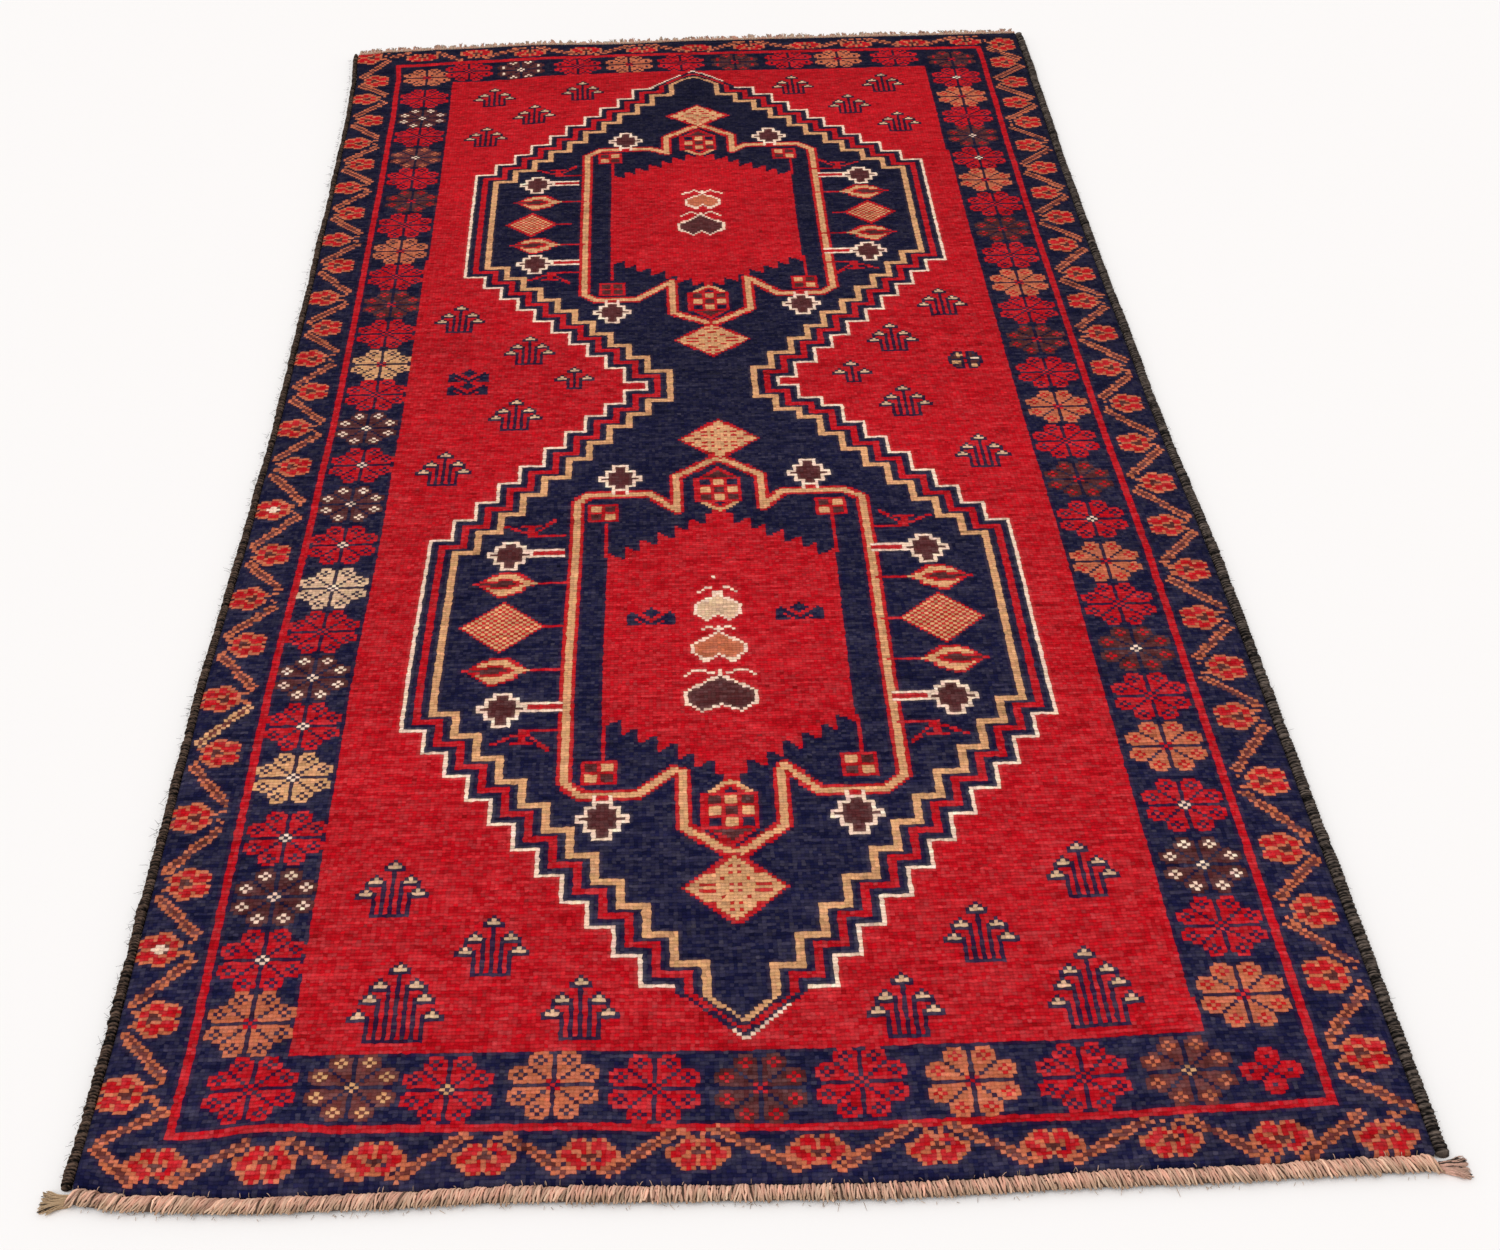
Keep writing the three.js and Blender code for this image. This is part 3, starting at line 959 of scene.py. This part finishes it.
pile_grid = knot_grid(pile_top - 0.0004, sway=0.10, rise=0.00016)
rim_rows = np.minimum(grid_row, KNOT_ROWS - grid_row)
rim_columns = np.minimum(grid_column, KNOTS_ACROSS - grid_column)
# The outermost tufts lean over, so the pile sinks at its rim.
RIM_DROP, RIM_KNOTS = 0.0016, 0.8
pile_grid[..., 2] -= RIM_DROP * np.exp(-np.minimum(rim_rows, rim_columns) / RIM_KNOTS)


def set_paint(mesh, colours, knots=None):
    """Colours, and places on the chart, for every corner of every face."""
    layer = mesh.color_attributes.new("Yarn", "FLOAT_COLOR", "CORNER")
    solid = np.ones((len(colours), 4), np.float32)
    solid[:, :3] = colours
    layer.data.foreach_set("color", solid.ravel())
    if knots is not None:
        mesh.uv_layers.new(name="Knots").data.foreach_set("uv", knots.astype(np.float32).ravel())


def add_mesh(name, places, faces, material, smooth=True):
    mesh = bpy.data.meshes.new(name)
    mesh.from_pydata(np.asarray(places).tolist(), [], faces)
    mesh.polygons.foreach_set("use_smooth", [smooth] * len(mesh.polygons))
    mesh.materials.append(material)
    piece = bpy.data.objects.new(name, mesh)
    bpy.context.scene.collection.objects.link(piece)
    return piece


def move_with_half(piece, half):
    """The near half lies still, on the near half's body. The far half has its placement applied to its mesh.
    """
    if half == "near":
        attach(piece, "near_half")
    else:
        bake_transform(piece)


# ---- Materials ----
class Nodes:
    """Short names for building a material's nodes."""

    def __init__(self, name):
        self.material = bpy.data.materials.new(name)
        self.material.use_nodes = True
        self.tree = self.material.node_tree
        self.shader = self.tree.nodes["Principled BSDF"]

    def fill(self, node, inputs):
        """Gives a node's inputs plain values, or links them to another node's output."""
        for name, value in inputs.items():
            if isinstance(value, bpy.types.NodeSocket):
                self.tree.links.new(value, node.inputs[name])
            else:
                node.inputs[name].default_value = value

    def add(self, kind, inputs, output=0, **settings):
        node = self.tree.nodes.new(kind)
        for key, value in settings.items():
            setattr(node, key, value)
        self.fill(node, inputs)
        return node.outputs[output]

    def math(self, operation, first, second):
        return self.add("ShaderNodeMath", {0: first, 1: second}, operation=operation)

    def plus(self, first, second):
        return self.math("ADD", first, second)

    def times(self, first, second):
        return self.math("MULTIPLY", first, second)

    def fibres(self, scale, detail):
        """Fine noise that is fixed to the piece."""
        place = self.add("ShaderNodeTexCoord", {}, "Object")
        return self.noise(place, scale, detail, 0.65)

    def noise(self, vector, scale, detail, roughness):
        inputs = {"Vector": vector, "Scale": scale, "Detail": detail, "Roughness": roughness}
        return self.add("ShaderNodeTexNoise", inputs)

    def complete(self, tone, height, distance, values):
        """The yarn colour times the tone, a bump from the height, and plain values for the rest."""
        yarn = self.add("ShaderNodeVertexColor", {}, layer_name="Yarn")
        colour = self.add("ShaderNodeVectorMath", {0: yarn, "Scale": tone}, operation="SCALE")
        bump = self.add("ShaderNodeBump", {"Height": height, "Distance": distance})
        self.fill(self.shader, {"Base Color": colour, "Normal": bump, **values})
        return self.material


def woven(name, painted_groove_shade, fibre_grain, sheen, roughness):
    """Knotted wool: rows of knots with shallow grooves between them, which are bumped and also painted darker
    as painted shade, and fine fibres over them.
    """
    nodes = Nodes(name)
    knots = nodes.add("ShaderNodeUVMap", {}, uv_map="Knots")
    row_phase = nodes.math("PINGPONG", nodes.add("ShaderNodeSeparateXYZ", {0: knots}, "Y"), 0.5)
    column_phase = nodes.math("PINGPONG", nodes.add("ShaderNodeSeparateXYZ", {0: knots}, "X"), 0.5)
    relief = nodes.plus(nodes.times(row_phase, 1.4), nodes.times(column_phase, 0.7))
    along_rows = nodes.add("ShaderNodeMapping", {"Vector": knots, "Scale": (0.12, 1.3, 1)})
    streaks = nodes.noise(along_rows, 1.0, 3.0, 0.6)
    fibres = nodes.fibres(900, 3.0)
    grain = nodes.plus(nodes.times(streaks, 0.8), nodes.times(fibres, fibre_grain))
    # Painted shade: the colour darkens in the grooves between knots and rows, by painted_groove_shade; the
    # streaks and fibres vary at random.
    tone = nodes.plus(nodes.times(grain, 0.8), nodes.times(relief, painted_groove_shade))
    usual_tone = 0.8 * (0.4 + 0.5 * fibre_grain) + 0.525 * painted_groove_shade
    height = nodes.plus(nodes.times(relief, 0.8), fibres)
    return nodes.complete(nodes.plus(tone, 1 - usual_tone), height, 0.0005, {
        "Roughness": roughness, "Specular IOR Level": 0.05, "Sheen Weight": sheen, "Sheen Roughness": 0.5,
    })


def strands(name, scale, contrast, roughness, sheen):
    """Loose or wrapped yarn: its own colour, with fine fibres along and across it."""
    nodes = Nodes(name)
    fibres = nodes.fibres(scale, 4.0)
    tone = nodes.plus(nodes.times(fibres, contrast), 1 - contrast / 2)
    return nodes.complete(tone, fibres, 0.0004, {
        "Roughness": roughness, "Specular IOR Level": 0.08, "Sheen Weight": sheen,
    })


wool_pile = woven("Wool pile", painted_groove_shade=0.50, fibre_grain=1.6, sheen=0.005, roughness=1.0)
rug_back = woven("Rug back", painted_groove_shade=0.45, fibre_grain=0.6, sheen=0.02, roughness=0.95)
goat_hair = strands("Goat hair overcast", scale=1100, contrast=1.3, roughness=0.85, sheen=0.0)
warp_yarn = strands("Warp and binding yarn", scale=1400, contrast=1.0, roughness=0.9, sheen=0.05)


# ---- Pile pieces ----
PILE_NODES = {
    "vine": ("vine_border_{end}_end", "vine_border_left_{half}", "vine_border_right_{half}"),
    "guard": ("guard_stripe_{end}_end", "guard_stripe_left_{half}", "guard_stripe_right_{half}"),
    "rosette": ("rosette_border_{end}_end", "rosette_border_left_{half}", "rosette_border_right_{half}"),
    "field": ("field_left_{half}", "field_right_{half}"),
    "outline": ("medallion_outline_left_{half}", "medallion_outline_right_{half}"),
    "ground": ("medallion_ground_left_{half}", "medallion_ground_right_{half}"),
    "frame": ("medallion_frame_left_{half}", "medallion_frame_right_{half}"),
    "panel": ("medallion_panel_{half}",),
}
pile_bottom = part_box("field_left_near")[0].z
pile_paint = corner_paint(knot_paint, bleed=0.10)


def rim_walls(quads):
    """The tops of the walls round the pile's outer edge: the first and last corner of each, and its knot."""
    near_and_right = ((0, 1, grid_row, 0), (1, 2, grid_column, KNOTS_ACROSS))
    far_and_left = ((2, 3, grid_row, KNOT_ROWS), (3, 0, grid_column, 0))
    walls = []
    for first, last, line, edge in near_and_right + far_and_left:
        start, end = quads[:, first], quads[:, last]
        knots = np.nonzero((line.flat[start] == edge) & (line.flat[end] == edge))[0]
        walls.append([start[knots], end[knots], knots])
    return np.concatenate(walls, axis=1)


def pile_piece(zone, half):
    """One zone's knots in one half: their tops, and walls down to the cloth along the rug's edge."""
    rows_of_half = (knot_row < FOLD_ROW) == (half == "near")
    chosen = zones[zone] & rows_of_half
    quads = KNOT_CORNERS[chosen]
    used, faces = np.unique(quads, return_inverse=True)
    faces = faces.reshape(-1, 4)
    places = pile_grid.reshape(-1, 3)[used]
    colours = pile_paint[chosen]
    knots = np.stack([grid_column.ravel()[quads], grid_row.ravel()[quads]], axis=2).astype(float)
    starts, ends, of_knots = rim_walls(quads)
    feet = np.unique([starts, ends])
    low = pile_grid.reshape(-1, 3)[feet]
    low[:, 2] = pile_bottom
    tops = np.searchsorted(used, [ends, starts])
    walls = np.concatenate([tops, len(used) + np.searchsorted(feet, [starts, ends])]).T
    places = np.concatenate([places, low])
    faces = np.concatenate([faces, walls])
    colours = np.concatenate([colours, colours[of_knots]])
    knots = np.concatenate([knots, knots[of_knots]])
    piece = add_mesh(f"{zone}_pile_{half}", places, faces.tolist(), wool_pile)
    set_paint(piece.data, colours.reshape(-1, 3), knots.reshape(-1, 2))
    move_with_half(piece, half)
    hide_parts(*(node.format(half=half, end=half) for node in PILE_NODES[zone]))
    return piece


pile_pieces = {half: [pile_piece(zone, half) for zone in zones] for half in ("near", "far")}


# ---- Ground cloth, with the pattern showing through on its back ----
def back_colours():
    """The back shows every knot, duller, with the light foundation between them."""
    foundation = np.array((0.42, 0.34, 0.27))
    return np.clip(knot_paint * 0.80 + foundation * 0.10, 0, 1)


def ground_cloth(half):
    """A thin closed slab: its underside has a face for each knot, and its plain top lies under the pile."""
    first, last = (0, FOLD_ROW) if half == "near" else (FOLD_ROW, KNOT_ROWS)
    rows = last - first
    under = back_grid[first : last + 1]
    wide = KNOTS_ACROSS + 1
    places = under.reshape(-1, 3).tolist()
    top_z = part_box(f"ground_cloth_{half}")[1].z
    flat = np.arange((rows + 1) * wide).reshape(rows + 1, wide)
    knots = np.stack([flat[:-1, :-1], flat[1:, :-1], flat[1:, 1:], flat[:-1, 1:]], axis=2).reshape(-1, 4)
    faces = knots.tolist()
    top = {}
    for row in range(rows + 1):
        columns = range(wide) if row in (0, rows) else (0, wide - 1)
        for column in columns:
            top[row, column] = len(places)
            place = under[row, column]
            places.append((place[0], place[1], top_z))
    for row in range(rows):
        near_edge = [top[row, column] for column in range(wide) if (row, column) in top]
        far_edge = [top[row + 1, column] for column in range(wide) if (row + 1, column) in top]
        faces.append(near_edge + far_edge[::-1])
        faces.append([flat[row, 0], top[row, 0], top[row + 1, 0], flat[row + 1, 0]])
        faces.append([flat[row, -1], flat[row + 1, -1], top[row + 1, wide - 1], top[row, wide - 1]])
    for column in range(wide - 1):
        faces.append([flat[0, column], flat[0, column + 1], top[0, column + 1], top[0, column]])
        faces.append([flat[-1, column + 1], flat[-1, column], top[rows, column], top[rows, column + 1]])
    piece = add_mesh(f"woven_cloth_{half}", places, faces, rug_back)
    corners = corner_paint(back_colours(), bleed=0.25)[first:last].reshape(-1, 4, 3)
    corners = corners[:, (0, 3, 2, 1)].reshape(-1, 3)
    loops = len(piece.data.loops)
    colours = np.full((loops, 3), (0.40, 0.30, 0.22))
    colours[: len(corners)] = corners
    chart_places = np.zeros((loops, 2))
    row, column = np.mgrid[first:last, 0:KNOTS_ACROSS]
    for corner, (down, right) in enumerate(((0, 0), (1, 0), (1, 1), (0, 1))):
        chart_places[corner : len(corners) : 4] = np.stack([column + right, row + down], 2).reshape(-1, 2)
    set_paint(piece.data, colours, chart_places)
    move_with_half(piece, half)
    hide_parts(f"ground_cloth_{half}")
    return piece


back_grid = knot_grid(0.0003, sway=0.05, rise=0.0001)
cloths = {half: ground_cloth(half) for half in ("near", "far")}


# ---- Yarn: wraps, bundles and loose ends ----
def tubes(paths, radii, sides):
    """Closed tubes along many paths of equally many points: their corners and their faces."""
    count, points = paths.shape[:2]
    along_path = np.gradient(paths, axis=1)
    along_path /= np.maximum(np.linalg.norm(along_path, axis=2, keepdims=True), 1e-9)
    reference = np.where(abs(along_path[:, :1, 2:3]) > 0.8, (0, 1.0, 0), (0, 0, 1.0))
    side = np.cross(along_path, reference)
    side /= np.maximum(np.linalg.norm(side, axis=2, keepdims=True), 1e-9)
    up = np.cross(side, along_path)
    turn = np.arange(sides) * 2 * math.pi / sides
    ring_offsets = side[:, :, None] * np.cos(turn)[:, None] + up[:, :, None] * np.sin(turn)[:, None]
    places = paths[:, :, None] + ring_offsets * radii[:, :, None, None]
    index = np.arange(count * points * sides).reshape(count, points, sides)
    turned = np.roll(index, -1, axis=2)
    walls = np.stack([index[:, :-1], turned[:, :-1], turned[:, 1:], index[:, 1:]], axis=3)
    caps = [list(ring[::-1]) for ring in index[:, 0]] + [list(ring) for ring in index[:, -1]]
    return places.reshape(-1, 3), walls.reshape(-1, 4).tolist() + caps


def strand_part(paths, radii, sides, colours):
    """Corners, faces and corner colours of tubes with one colour each, or one for each point of each path."""
    places, faces = tubes(paths, np.broadcast_to(radii, paths.shape[:2]), sides)
    colours = np.array(colours, float)
    if colours.ndim == 2:
        colours = colours[:, None]
    painted = np.broadcast_to(colours, paths.shape[:2] + (3,)).reshape(-1, 3)
    return places, faces, np.repeat(painted, sides, axis=0)


def path_of(x, y, z):
    """Points of many paths, from their coordinates: one row for each path."""
    return np.stack(np.broadcast_arrays(x, y, z), 2)


def yarn_piece(name, parts, material, slot_name, *replaced):
    """One piece from several parts, each given as corners, faces and a colour for each corner."""
    faces, start = [], 0
    for part_places, part_faces, _ in parts:
        faces += [[start + corner for corner in face] for face in part_faces]
        start += len(part_places)
    piece = add_mesh(name, laid(np.concatenate([part[0] for part in parts])), faces, material)
    corners = np.empty(len(piece.data.loops), int)
    piece.data.loops.foreach_get("vertex_index", corners)
    set_paint(piece.data, np.concatenate([part[2] for part in parts])[corners])
    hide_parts(*replaced)
    return piece


def end_piece(name, parts, body, *replaced):
    """A piece of warp yarn at one end of the rug, riding on that end's half."""
    piece = yarn_piece(name, parts, warp_yarn, "end_warp", *replaced)
    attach(piece, body)
    return piece


def middle(low, high):
    return [(start + end) / 2 for start, end in zip(low, high)]


def mix(first, second, share):
    return first * (1 - share) + second * share


# How each side is wound: the left is slimmer, uneven and slanting, and the right is broader and even.
OVERCAST = {
    "left": {"pitch": 0.0040, "uneven": 0.085, "hairs": 300},
    "right": {"pitch": 0.0046, "uneven": 0.03, "hairs": 90},
}
# Goat hair colours: near-black as painted shade between its turns, and brown as a painted highlight on their
# ridges.
HAIR_SHADE_AND_HIGHLIGHT = {
    "left": ((0.002, 0.002, 0.002), (0.150, 0.094, 0.068)),
    "right": ((0.004, 0.003, 0.003), (0.160, 0.122, 0.100)),
}


def overcast(side, half):
    """Goat hair wound round the edge warps, turn beside turn."""
    low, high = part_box(f"{side}_selvedge_wrap_{half}")
    centre_x, _, centre_z = middle(low, high)
    reach_x, reach_z = (high.x - low.x) / 2, (high.z - low.z) / 2
    winding = OVERCAST[side]
    pitch = winding["pitch"]
    rings_per_turn, around = 6, 16
    rings = int((high.y - low.y) / pitch * rings_per_turn)
    y = np.linspace(low.y, high.y, rings + 1)[:, None]
    stations = 140
    wander = np.interp(y, np.linspace(low.y, high.y, stations), random.normal(0, 0.55, stations))
    angle = np.arange(around) * 2 * math.pi / around
    slant = angle / (2 * math.pi) if side == "left" else 1.2 * abs(np.sin(angle / 2 + 0.5))
    phase = y / pitch + wander + slant
    ridge = 1 - abs((phase % 1) * 2 - 1) ** 2
    turn_number = np.floor(phase).astype(int)
    turn_number -= turn_number.min()
    turns = turn_number.max() + 1
    size = 0.74 + 0.26 * ridge + random.normal(0, winding["uneven"], turns)[turn_number]
    smoothing = 80
    lump = np.convolve(random.normal(0, 1, rings + smoothing + 1), np.ones(smoothing) / smoothing, "valid")
    lump = lump[: rings + 1, None]
    slim = 0.85 - 0.25 * (y - cloth_low.y) / (cloth_high.y - cloth_low.y) if side == "left" else 1
    x = centre_x + reach_x * (1 - slim) + reach_x * slim * size * np.cos(angle) + 0.004 * lump
    z = np.maximum(centre_z + reach_z * np.minimum(size, 1) * np.sin(angle), 0.0002)
    index = np.arange((rings + 1) * around).reshape(rings + 1, around)
    turned = np.roll(index, -1, axis=1)
    walls = np.stack([index[:-1], index[1:], turned[1:], turned[:-1]], 2).reshape(-1, 4)
    caps = [index[0].tolist(), index[-1][::-1].tolist()]
    patches = random.normal(0, 0.28, ridge.shape)
    turn_tone = random.normal(0, 0.15, turns)[turn_number]
    # Painted light: the ridges of the turns get a painted highlight and the gaps between them painted shade,
    # with tone that differs at random by turn and in patches.
    tone = np.clip(ridge**3 * 0.75 - 0.08 + turn_tone + patches, 0, 1.3).reshape(-1, 1)
    dark, light = np.array(HAIR_SHADE_AND_HIGHLIGHT[side])
    wound = (path_of(x, y, z).reshape(-1, 3), walls.tolist() + caps, dark + tone * (light - dark))
    piece = yarn_piece(
        f"{side}_overcast_{half}", [wound, loose_hairs(side, low, high)], goat_hair, "goat_hair",
        f"{side}_selvedge_core_{half}", f"{side}_selvedge_wrap_{half}",
    )
    move_with_half(piece, half)
    return piece


def loose_hairs(side, low, high):
    """Short hairs that stray outwards from the overcasting."""
    each = (OVERCAST[side]["hairs"], 1)
    outwards = -1 if side == "left" else 1
    edge = low.x if side == "left" else high.x
    steps = np.linspace(0, 1, 5)
    start_y = random.uniform(low.y + 0.01, high.y - 0.01, each)
    start_z = random.uniform(0.002, 0.008, each)
    length = np.minimum(random.exponential(0.0018, each) + 0.0015, 0.009)
    swing = random.normal(0, 0.8, each)
    droop = random.uniform(-0.4, 0.4, each)
    x = edge - outwards * 0.0015 + outwards * length * steps * np.cos(swing)
    y = start_y + length * (np.sin(swing) * steps + 0.4 * steps**2 * droop)
    z = np.clip(start_z + length * droop * steps, 0.0006, 0.0085)
    return strand_part(path_of(x, y, z), 0.00022 * (1 - 0.6 * steps), 3, (0.02, 0.016, 0.014))


overcasts = {half: [overcast(side, half) for side in ("left", "right")] for half in ("near", "far")}


# ---- Near end: warps whipped into a thick slanting binding ----
PINK, TAN, SAND = np.array((0.72, 0.37, 0.27)), np.array((0.36, 0.215, 0.135)), np.array((0.72, 0.53, 0.38))


def near_binding():
    """Bundles of strands, side by side, that each bend from the last row over the warp ends to the floor."""
    low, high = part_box("near_end_whipping")
    bundles, strands_each, points = 165, 5, 11

    def shared(values):
        return np.repeat(values, strands_each)[:, None]

    place = shared(np.linspace(low.x + 0.004, high.x - 0.004, bundles) + random.normal(0, 0.0006, bundles))
    within = np.tile(np.arange(strands_each) - 2, bundles)[:, None]
    steps = np.linspace(0, 1, points)
    lean = -0.0120 * np.sin(place / 0.36) + shared(random.normal(0, 0.0022, bundles))
    angle = math.pi * (0.93 - 1.28 * steps)
    _, centre_y, centre_z = middle(low, high)
    reach = shared(random.normal(1, 0.10, bundles)) * random.normal(1, 0.06, place.shape)
    radius = 0.00085 + random.normal(0, 0.00012, place.shape)
    twist = steps * 4 + within * 1.6
    x = place + within * 0.0010 + lean * (steps - 0.4) + 0.0013 * np.sin(twist)
    y = centre_y + 0.001 + np.cos(angle) * ((high.y - low.y) / 2 - 0.0020) * reach
    z = centre_z + np.sin(angle) * ((high.z - low.z) / 2 - 0.0013) + 0.0010 * np.cos(twist)
    x += random.normal(0, 0.00025, x.shape)
    z = np.clip(z + random.normal(0, 0.0002, z.shape), 0.0015, high.z - 0.0014)
    radii = radius * (0.75 + 0.45 * np.sin(math.pi * np.clip(steps, 0, 0.9)))
    bundle_tone = shared(random.normal(0, 0.22, bundles))
    tone = np.clip(0.85 - steps * 3 + abs(steps - 0.5) * 0.8 + bundle_tone, 0, 1)[..., None]
    paler = random.uniform(0, 0.6, place.shape)[..., None]
    colours = mix(mix(PINK, TAN, tone), SAND, paler) * random.normal(0.98, 0.24, place.shape)[..., None]
    whipping = strand_part(path_of(x, y, z), radii, 7, colours)
    parts = [whipping, flat_core(), fuzz(low, high), loops_in_the_pile(low, high)]
    return end_piece("near_end_binding", parts, "near_half", "near_end_cord", "near_end_whipping")


def flat_core():
    """The gathered warp ends inside the binding: a cord that is wider than it is thick."""
    low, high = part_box("near_end_cord")
    _, centre_y, centre_z = middle(low, high)
    centre_y += 0.001
    x = np.linspace(low.x + 0.003, high.x - 0.003, 40)[None]
    core = strand_part(path_of(x, centre_y, centre_z), 0.0026, 10, (0.09, 0.055, 0.04))
    core[0][:, 1] = centre_y + (core[0][:, 1] - centre_y) * 2.4
    return core


def fuzz(low, high):
    """Fine loose fibres round the foot of the binding."""
    each = (110, 1)
    steps = np.linspace(0, 1, 5)
    x = random.uniform(low.x + 0.002, high.x - 0.002, each)
    swing = random.normal(0, 0.9, each)
    length = random.exponential(0.0014, each) + 0.0012
    foot = low.y + random.uniform(0.0005, 0.004, each)
    bend = random.uniform(-1, 1, each)
    x = x + length * np.sin(swing) * steps
    y = foot - length * abs(np.cos(swing)) * steps
    z = random.uniform(0.0015, 0.0045, each) * (1 - 0.5 * steps) + 0.0008 * bend * steps**2
    colours = mix(SAND, TAN, random.random(each)) * random.normal(0.85, 0.2, each)
    return strand_part(path_of(x, y, z), 0.00030 * (1 - 0.5 * steps), 3, colours)


def loops_in_the_pile(low, high):
    """Tiny pale ends of the binding yarn that come up between the last rows of knots."""
    each = (60, 1)
    x = random.uniform(low.x + 0.004, high.x - 0.004, each)
    length = random.uniform(0.0015, 0.0045, each)
    steps = np.linspace(0, 1, 4)
    swing = random.normal(0, 0.5, each)
    x = x + length * np.sin(swing) * steps
    y = high.y - 0.001 + length * np.cos(swing) * steps
    z = 0.0078 + 0.0020 * np.sin(math.pi * steps * 0.7)
    colours = np.where(random.random(each) < 0.5, (0.55, 0.36, 0.26), (0.25, 0.17, 0.12))
    return strand_part(path_of(x, y, z), 0.00032, 4, colours)


def tuft(name, node, side, base_colour, end_colour, dark_share):
    """A brush of warp ends tied off at a corner."""
    low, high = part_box(node)
    count = 190
    each = (count, 1)
    outwards = -1 if side == "left" else 1
    root_x = high.x if side == "left" else low.x
    steps = np.linspace(0, 1, 7)
    fan = random.uniform(-1, 1, each)
    length = (high.x - low.x) * random.uniform(0.6, 0.98, each)
    lift = random.uniform(0, 1, each)
    x = root_x + outwards * length * steps
    y = middle(low, high)[1] + fan * 0.0034 + fan * 0.0080 * steps**1.4
    y += 0.0008 * np.sin(steps * 6 + random.uniform(0, 6, each))
    y = np.clip(y, low.y - 0.004, high.y + 0.002)
    z = 0.0012 + lift * 0.0050 * (1 - 0.35 * steps)
    share = random.uniform(0, 1, (count, 1, 1)) * 0.5 + 0.5 * steps[:, None]
    colours = mix(np.array(base_colour), np.array(end_colour), share)
    colours *= random.normal(1, 0.12, (count, 1, 1))
    dark = random.random(count) < dark_share
    colours[dark] = (0.03, 0.022, 0.018)
    brush = strand_part(path_of(x, y, z), 0.00075 * (1 - 0.5 * steps), 5, colours)
    return end_piece(name, [brush], "near_half", node)


def far_fringe():
    """Cut warp ends beyond the last rows, in uneven clumps."""
    low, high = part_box("far_fringe")
    clumps, each = 270, 7

    def shared(values):
        return np.repeat(values, each)[:, None]

    x = shared(np.linspace(low.x + 0.003, high.x - 0.003, clumps) + random.normal(0, 0.0012, clumps))
    length = shared((high.y - low.y) * np.clip(random.normal(0.98, 0.20, clumps), 0.4, 1.35))
    swing = shared(random.normal(0, 0.30, clumps))
    length = length * random.uniform(0.8, 1.0, x.shape)
    swing = swing + random.normal(0, 0.12, x.shape)
    steps = np.linspace(0, 1, 6)
    x = x + random.normal(0, 0.0008, x.shape) + length * np.sin(swing) * steps
    y = low.y + length * np.cos(swing) * steps
    rise = shared(random.uniform(0.2, 1.0, clumps)) * random.uniform(0.6, 1.0, swing.shape)
    z = 0.0030 + 0.0057 * rise * np.sin(steps * 1.5) + 0.0004 * np.sin(steps * 5)
    tone = shared(random.uniform(0, 1, clumps))
    colours = mix(SAND, PINK, tone) * random.normal(0.60, 0.17, swing.shape)
    ends = strand_part(path_of(x, y, z), 0.0011 * (1 - 0.45 * steps), 5, colours)
    return end_piece("far_fringe_ends", [ends], "far_half", "far_fringe")


def far_twining():
    """The twined cord that holds the last row of knots, as many small turns of yarn side by side."""
    low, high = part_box("far_end_cord")
    turns = 430
    steps = np.linspace(0, 1, 7)
    angle = math.pi * (1.0 - 1.25 * steps)
    _, centre_y, centre_z = middle(low, high)
    x = np.linspace(low.x + 0.002, high.x - 0.002, turns)[:, None] + 0.002 * steps
    y = centre_y - 0.0021 * np.cos(angle)
    z = centre_z + 0.0030 + 0.0021 * np.sin(angle)
    colours = mix(SAND, PINK, random.uniform(0, 1, (turns, 1))) * 0.85
    cord = strand_part(path_of(x, y, z), 0.0009, 5, colours)
    return end_piece("far_end_twining", [cord], "far_half", "far_end_cord")


# ---- The end pieces, riding on the near and the far half ----
near_end = [
    near_binding(),
    tuft("left_tuft_strands", "left_corner_tuft", "left", (0.36, 0.23, 0.13), (0.48, 0.34, 0.21), 0.08),
    tuft("right_tuft_strands", "right_corner_tuft", "right", (0.66, 0.36, 0.28), (0.50, 0.33, 0.25), 0.2),
]
far_end = [far_fringe(), far_twining()]


# ---- Floor, light and camera ----
def add_floor():
    size = 30
    corners = [(-size, -size, 0), (size, -size, 0), (size, size, 0), (-size, size, 0)]
    nodes = Nodes("Pale floor")
    pale = (0.965, 0.946, 0.940, 1)
    nodes.fill(nodes.shader, {"Base Color": pale, "Roughness": 0.9, "Specular IOR Level": 0.1})
    floor = add_mesh("floor", corners, [(0, 1, 2, 3)], nodes.material, smooth=False)


def add_light():
    world = bpy.data.worlds.new("Studio")
    world.use_nodes = True
    world.node_tree.nodes["Background"].inputs["Color"].default_value = (1, 0.99, 0.98, 1)
    world.node_tree.nodes["Background"].inputs["Strength"].default_value = 0.645
    bpy.context.scene.world = world
    sun = bpy.data.lights.new("softbox", "SUN")
    sun.energy = 1.40
    sun.angle = math.radians(50)
    holder = bpy.data.objects.new("softbox", sun)
    holder.rotation_euler = (math.radians(28), math.radians(-18), 0)
    bpy.context.scene.collection.objects.link(holder)


def add_camera():
    camera = bpy.data.cameras.new("camera")
    camera.sensor_width = 36
    camera.lens = 52.8
    camera.shift_x = 0.0570
    camera.shift_y = 0.00033
    holder = bpy.data.objects.new("camera", camera)
    holder.location = (-0.0647, -2.2977, 1.393)
    holder.rotation_euler = [math.radians(angle) for angle in (53.4228, 1.1156, -0.8390)]
    bpy.context.scene.collection.objects.link(holder)
    bpy.context.scene.camera = holder


add_floor()
add_light()
add_camera()
bpy.context.scene.view_settings.view_transform = "Standard"
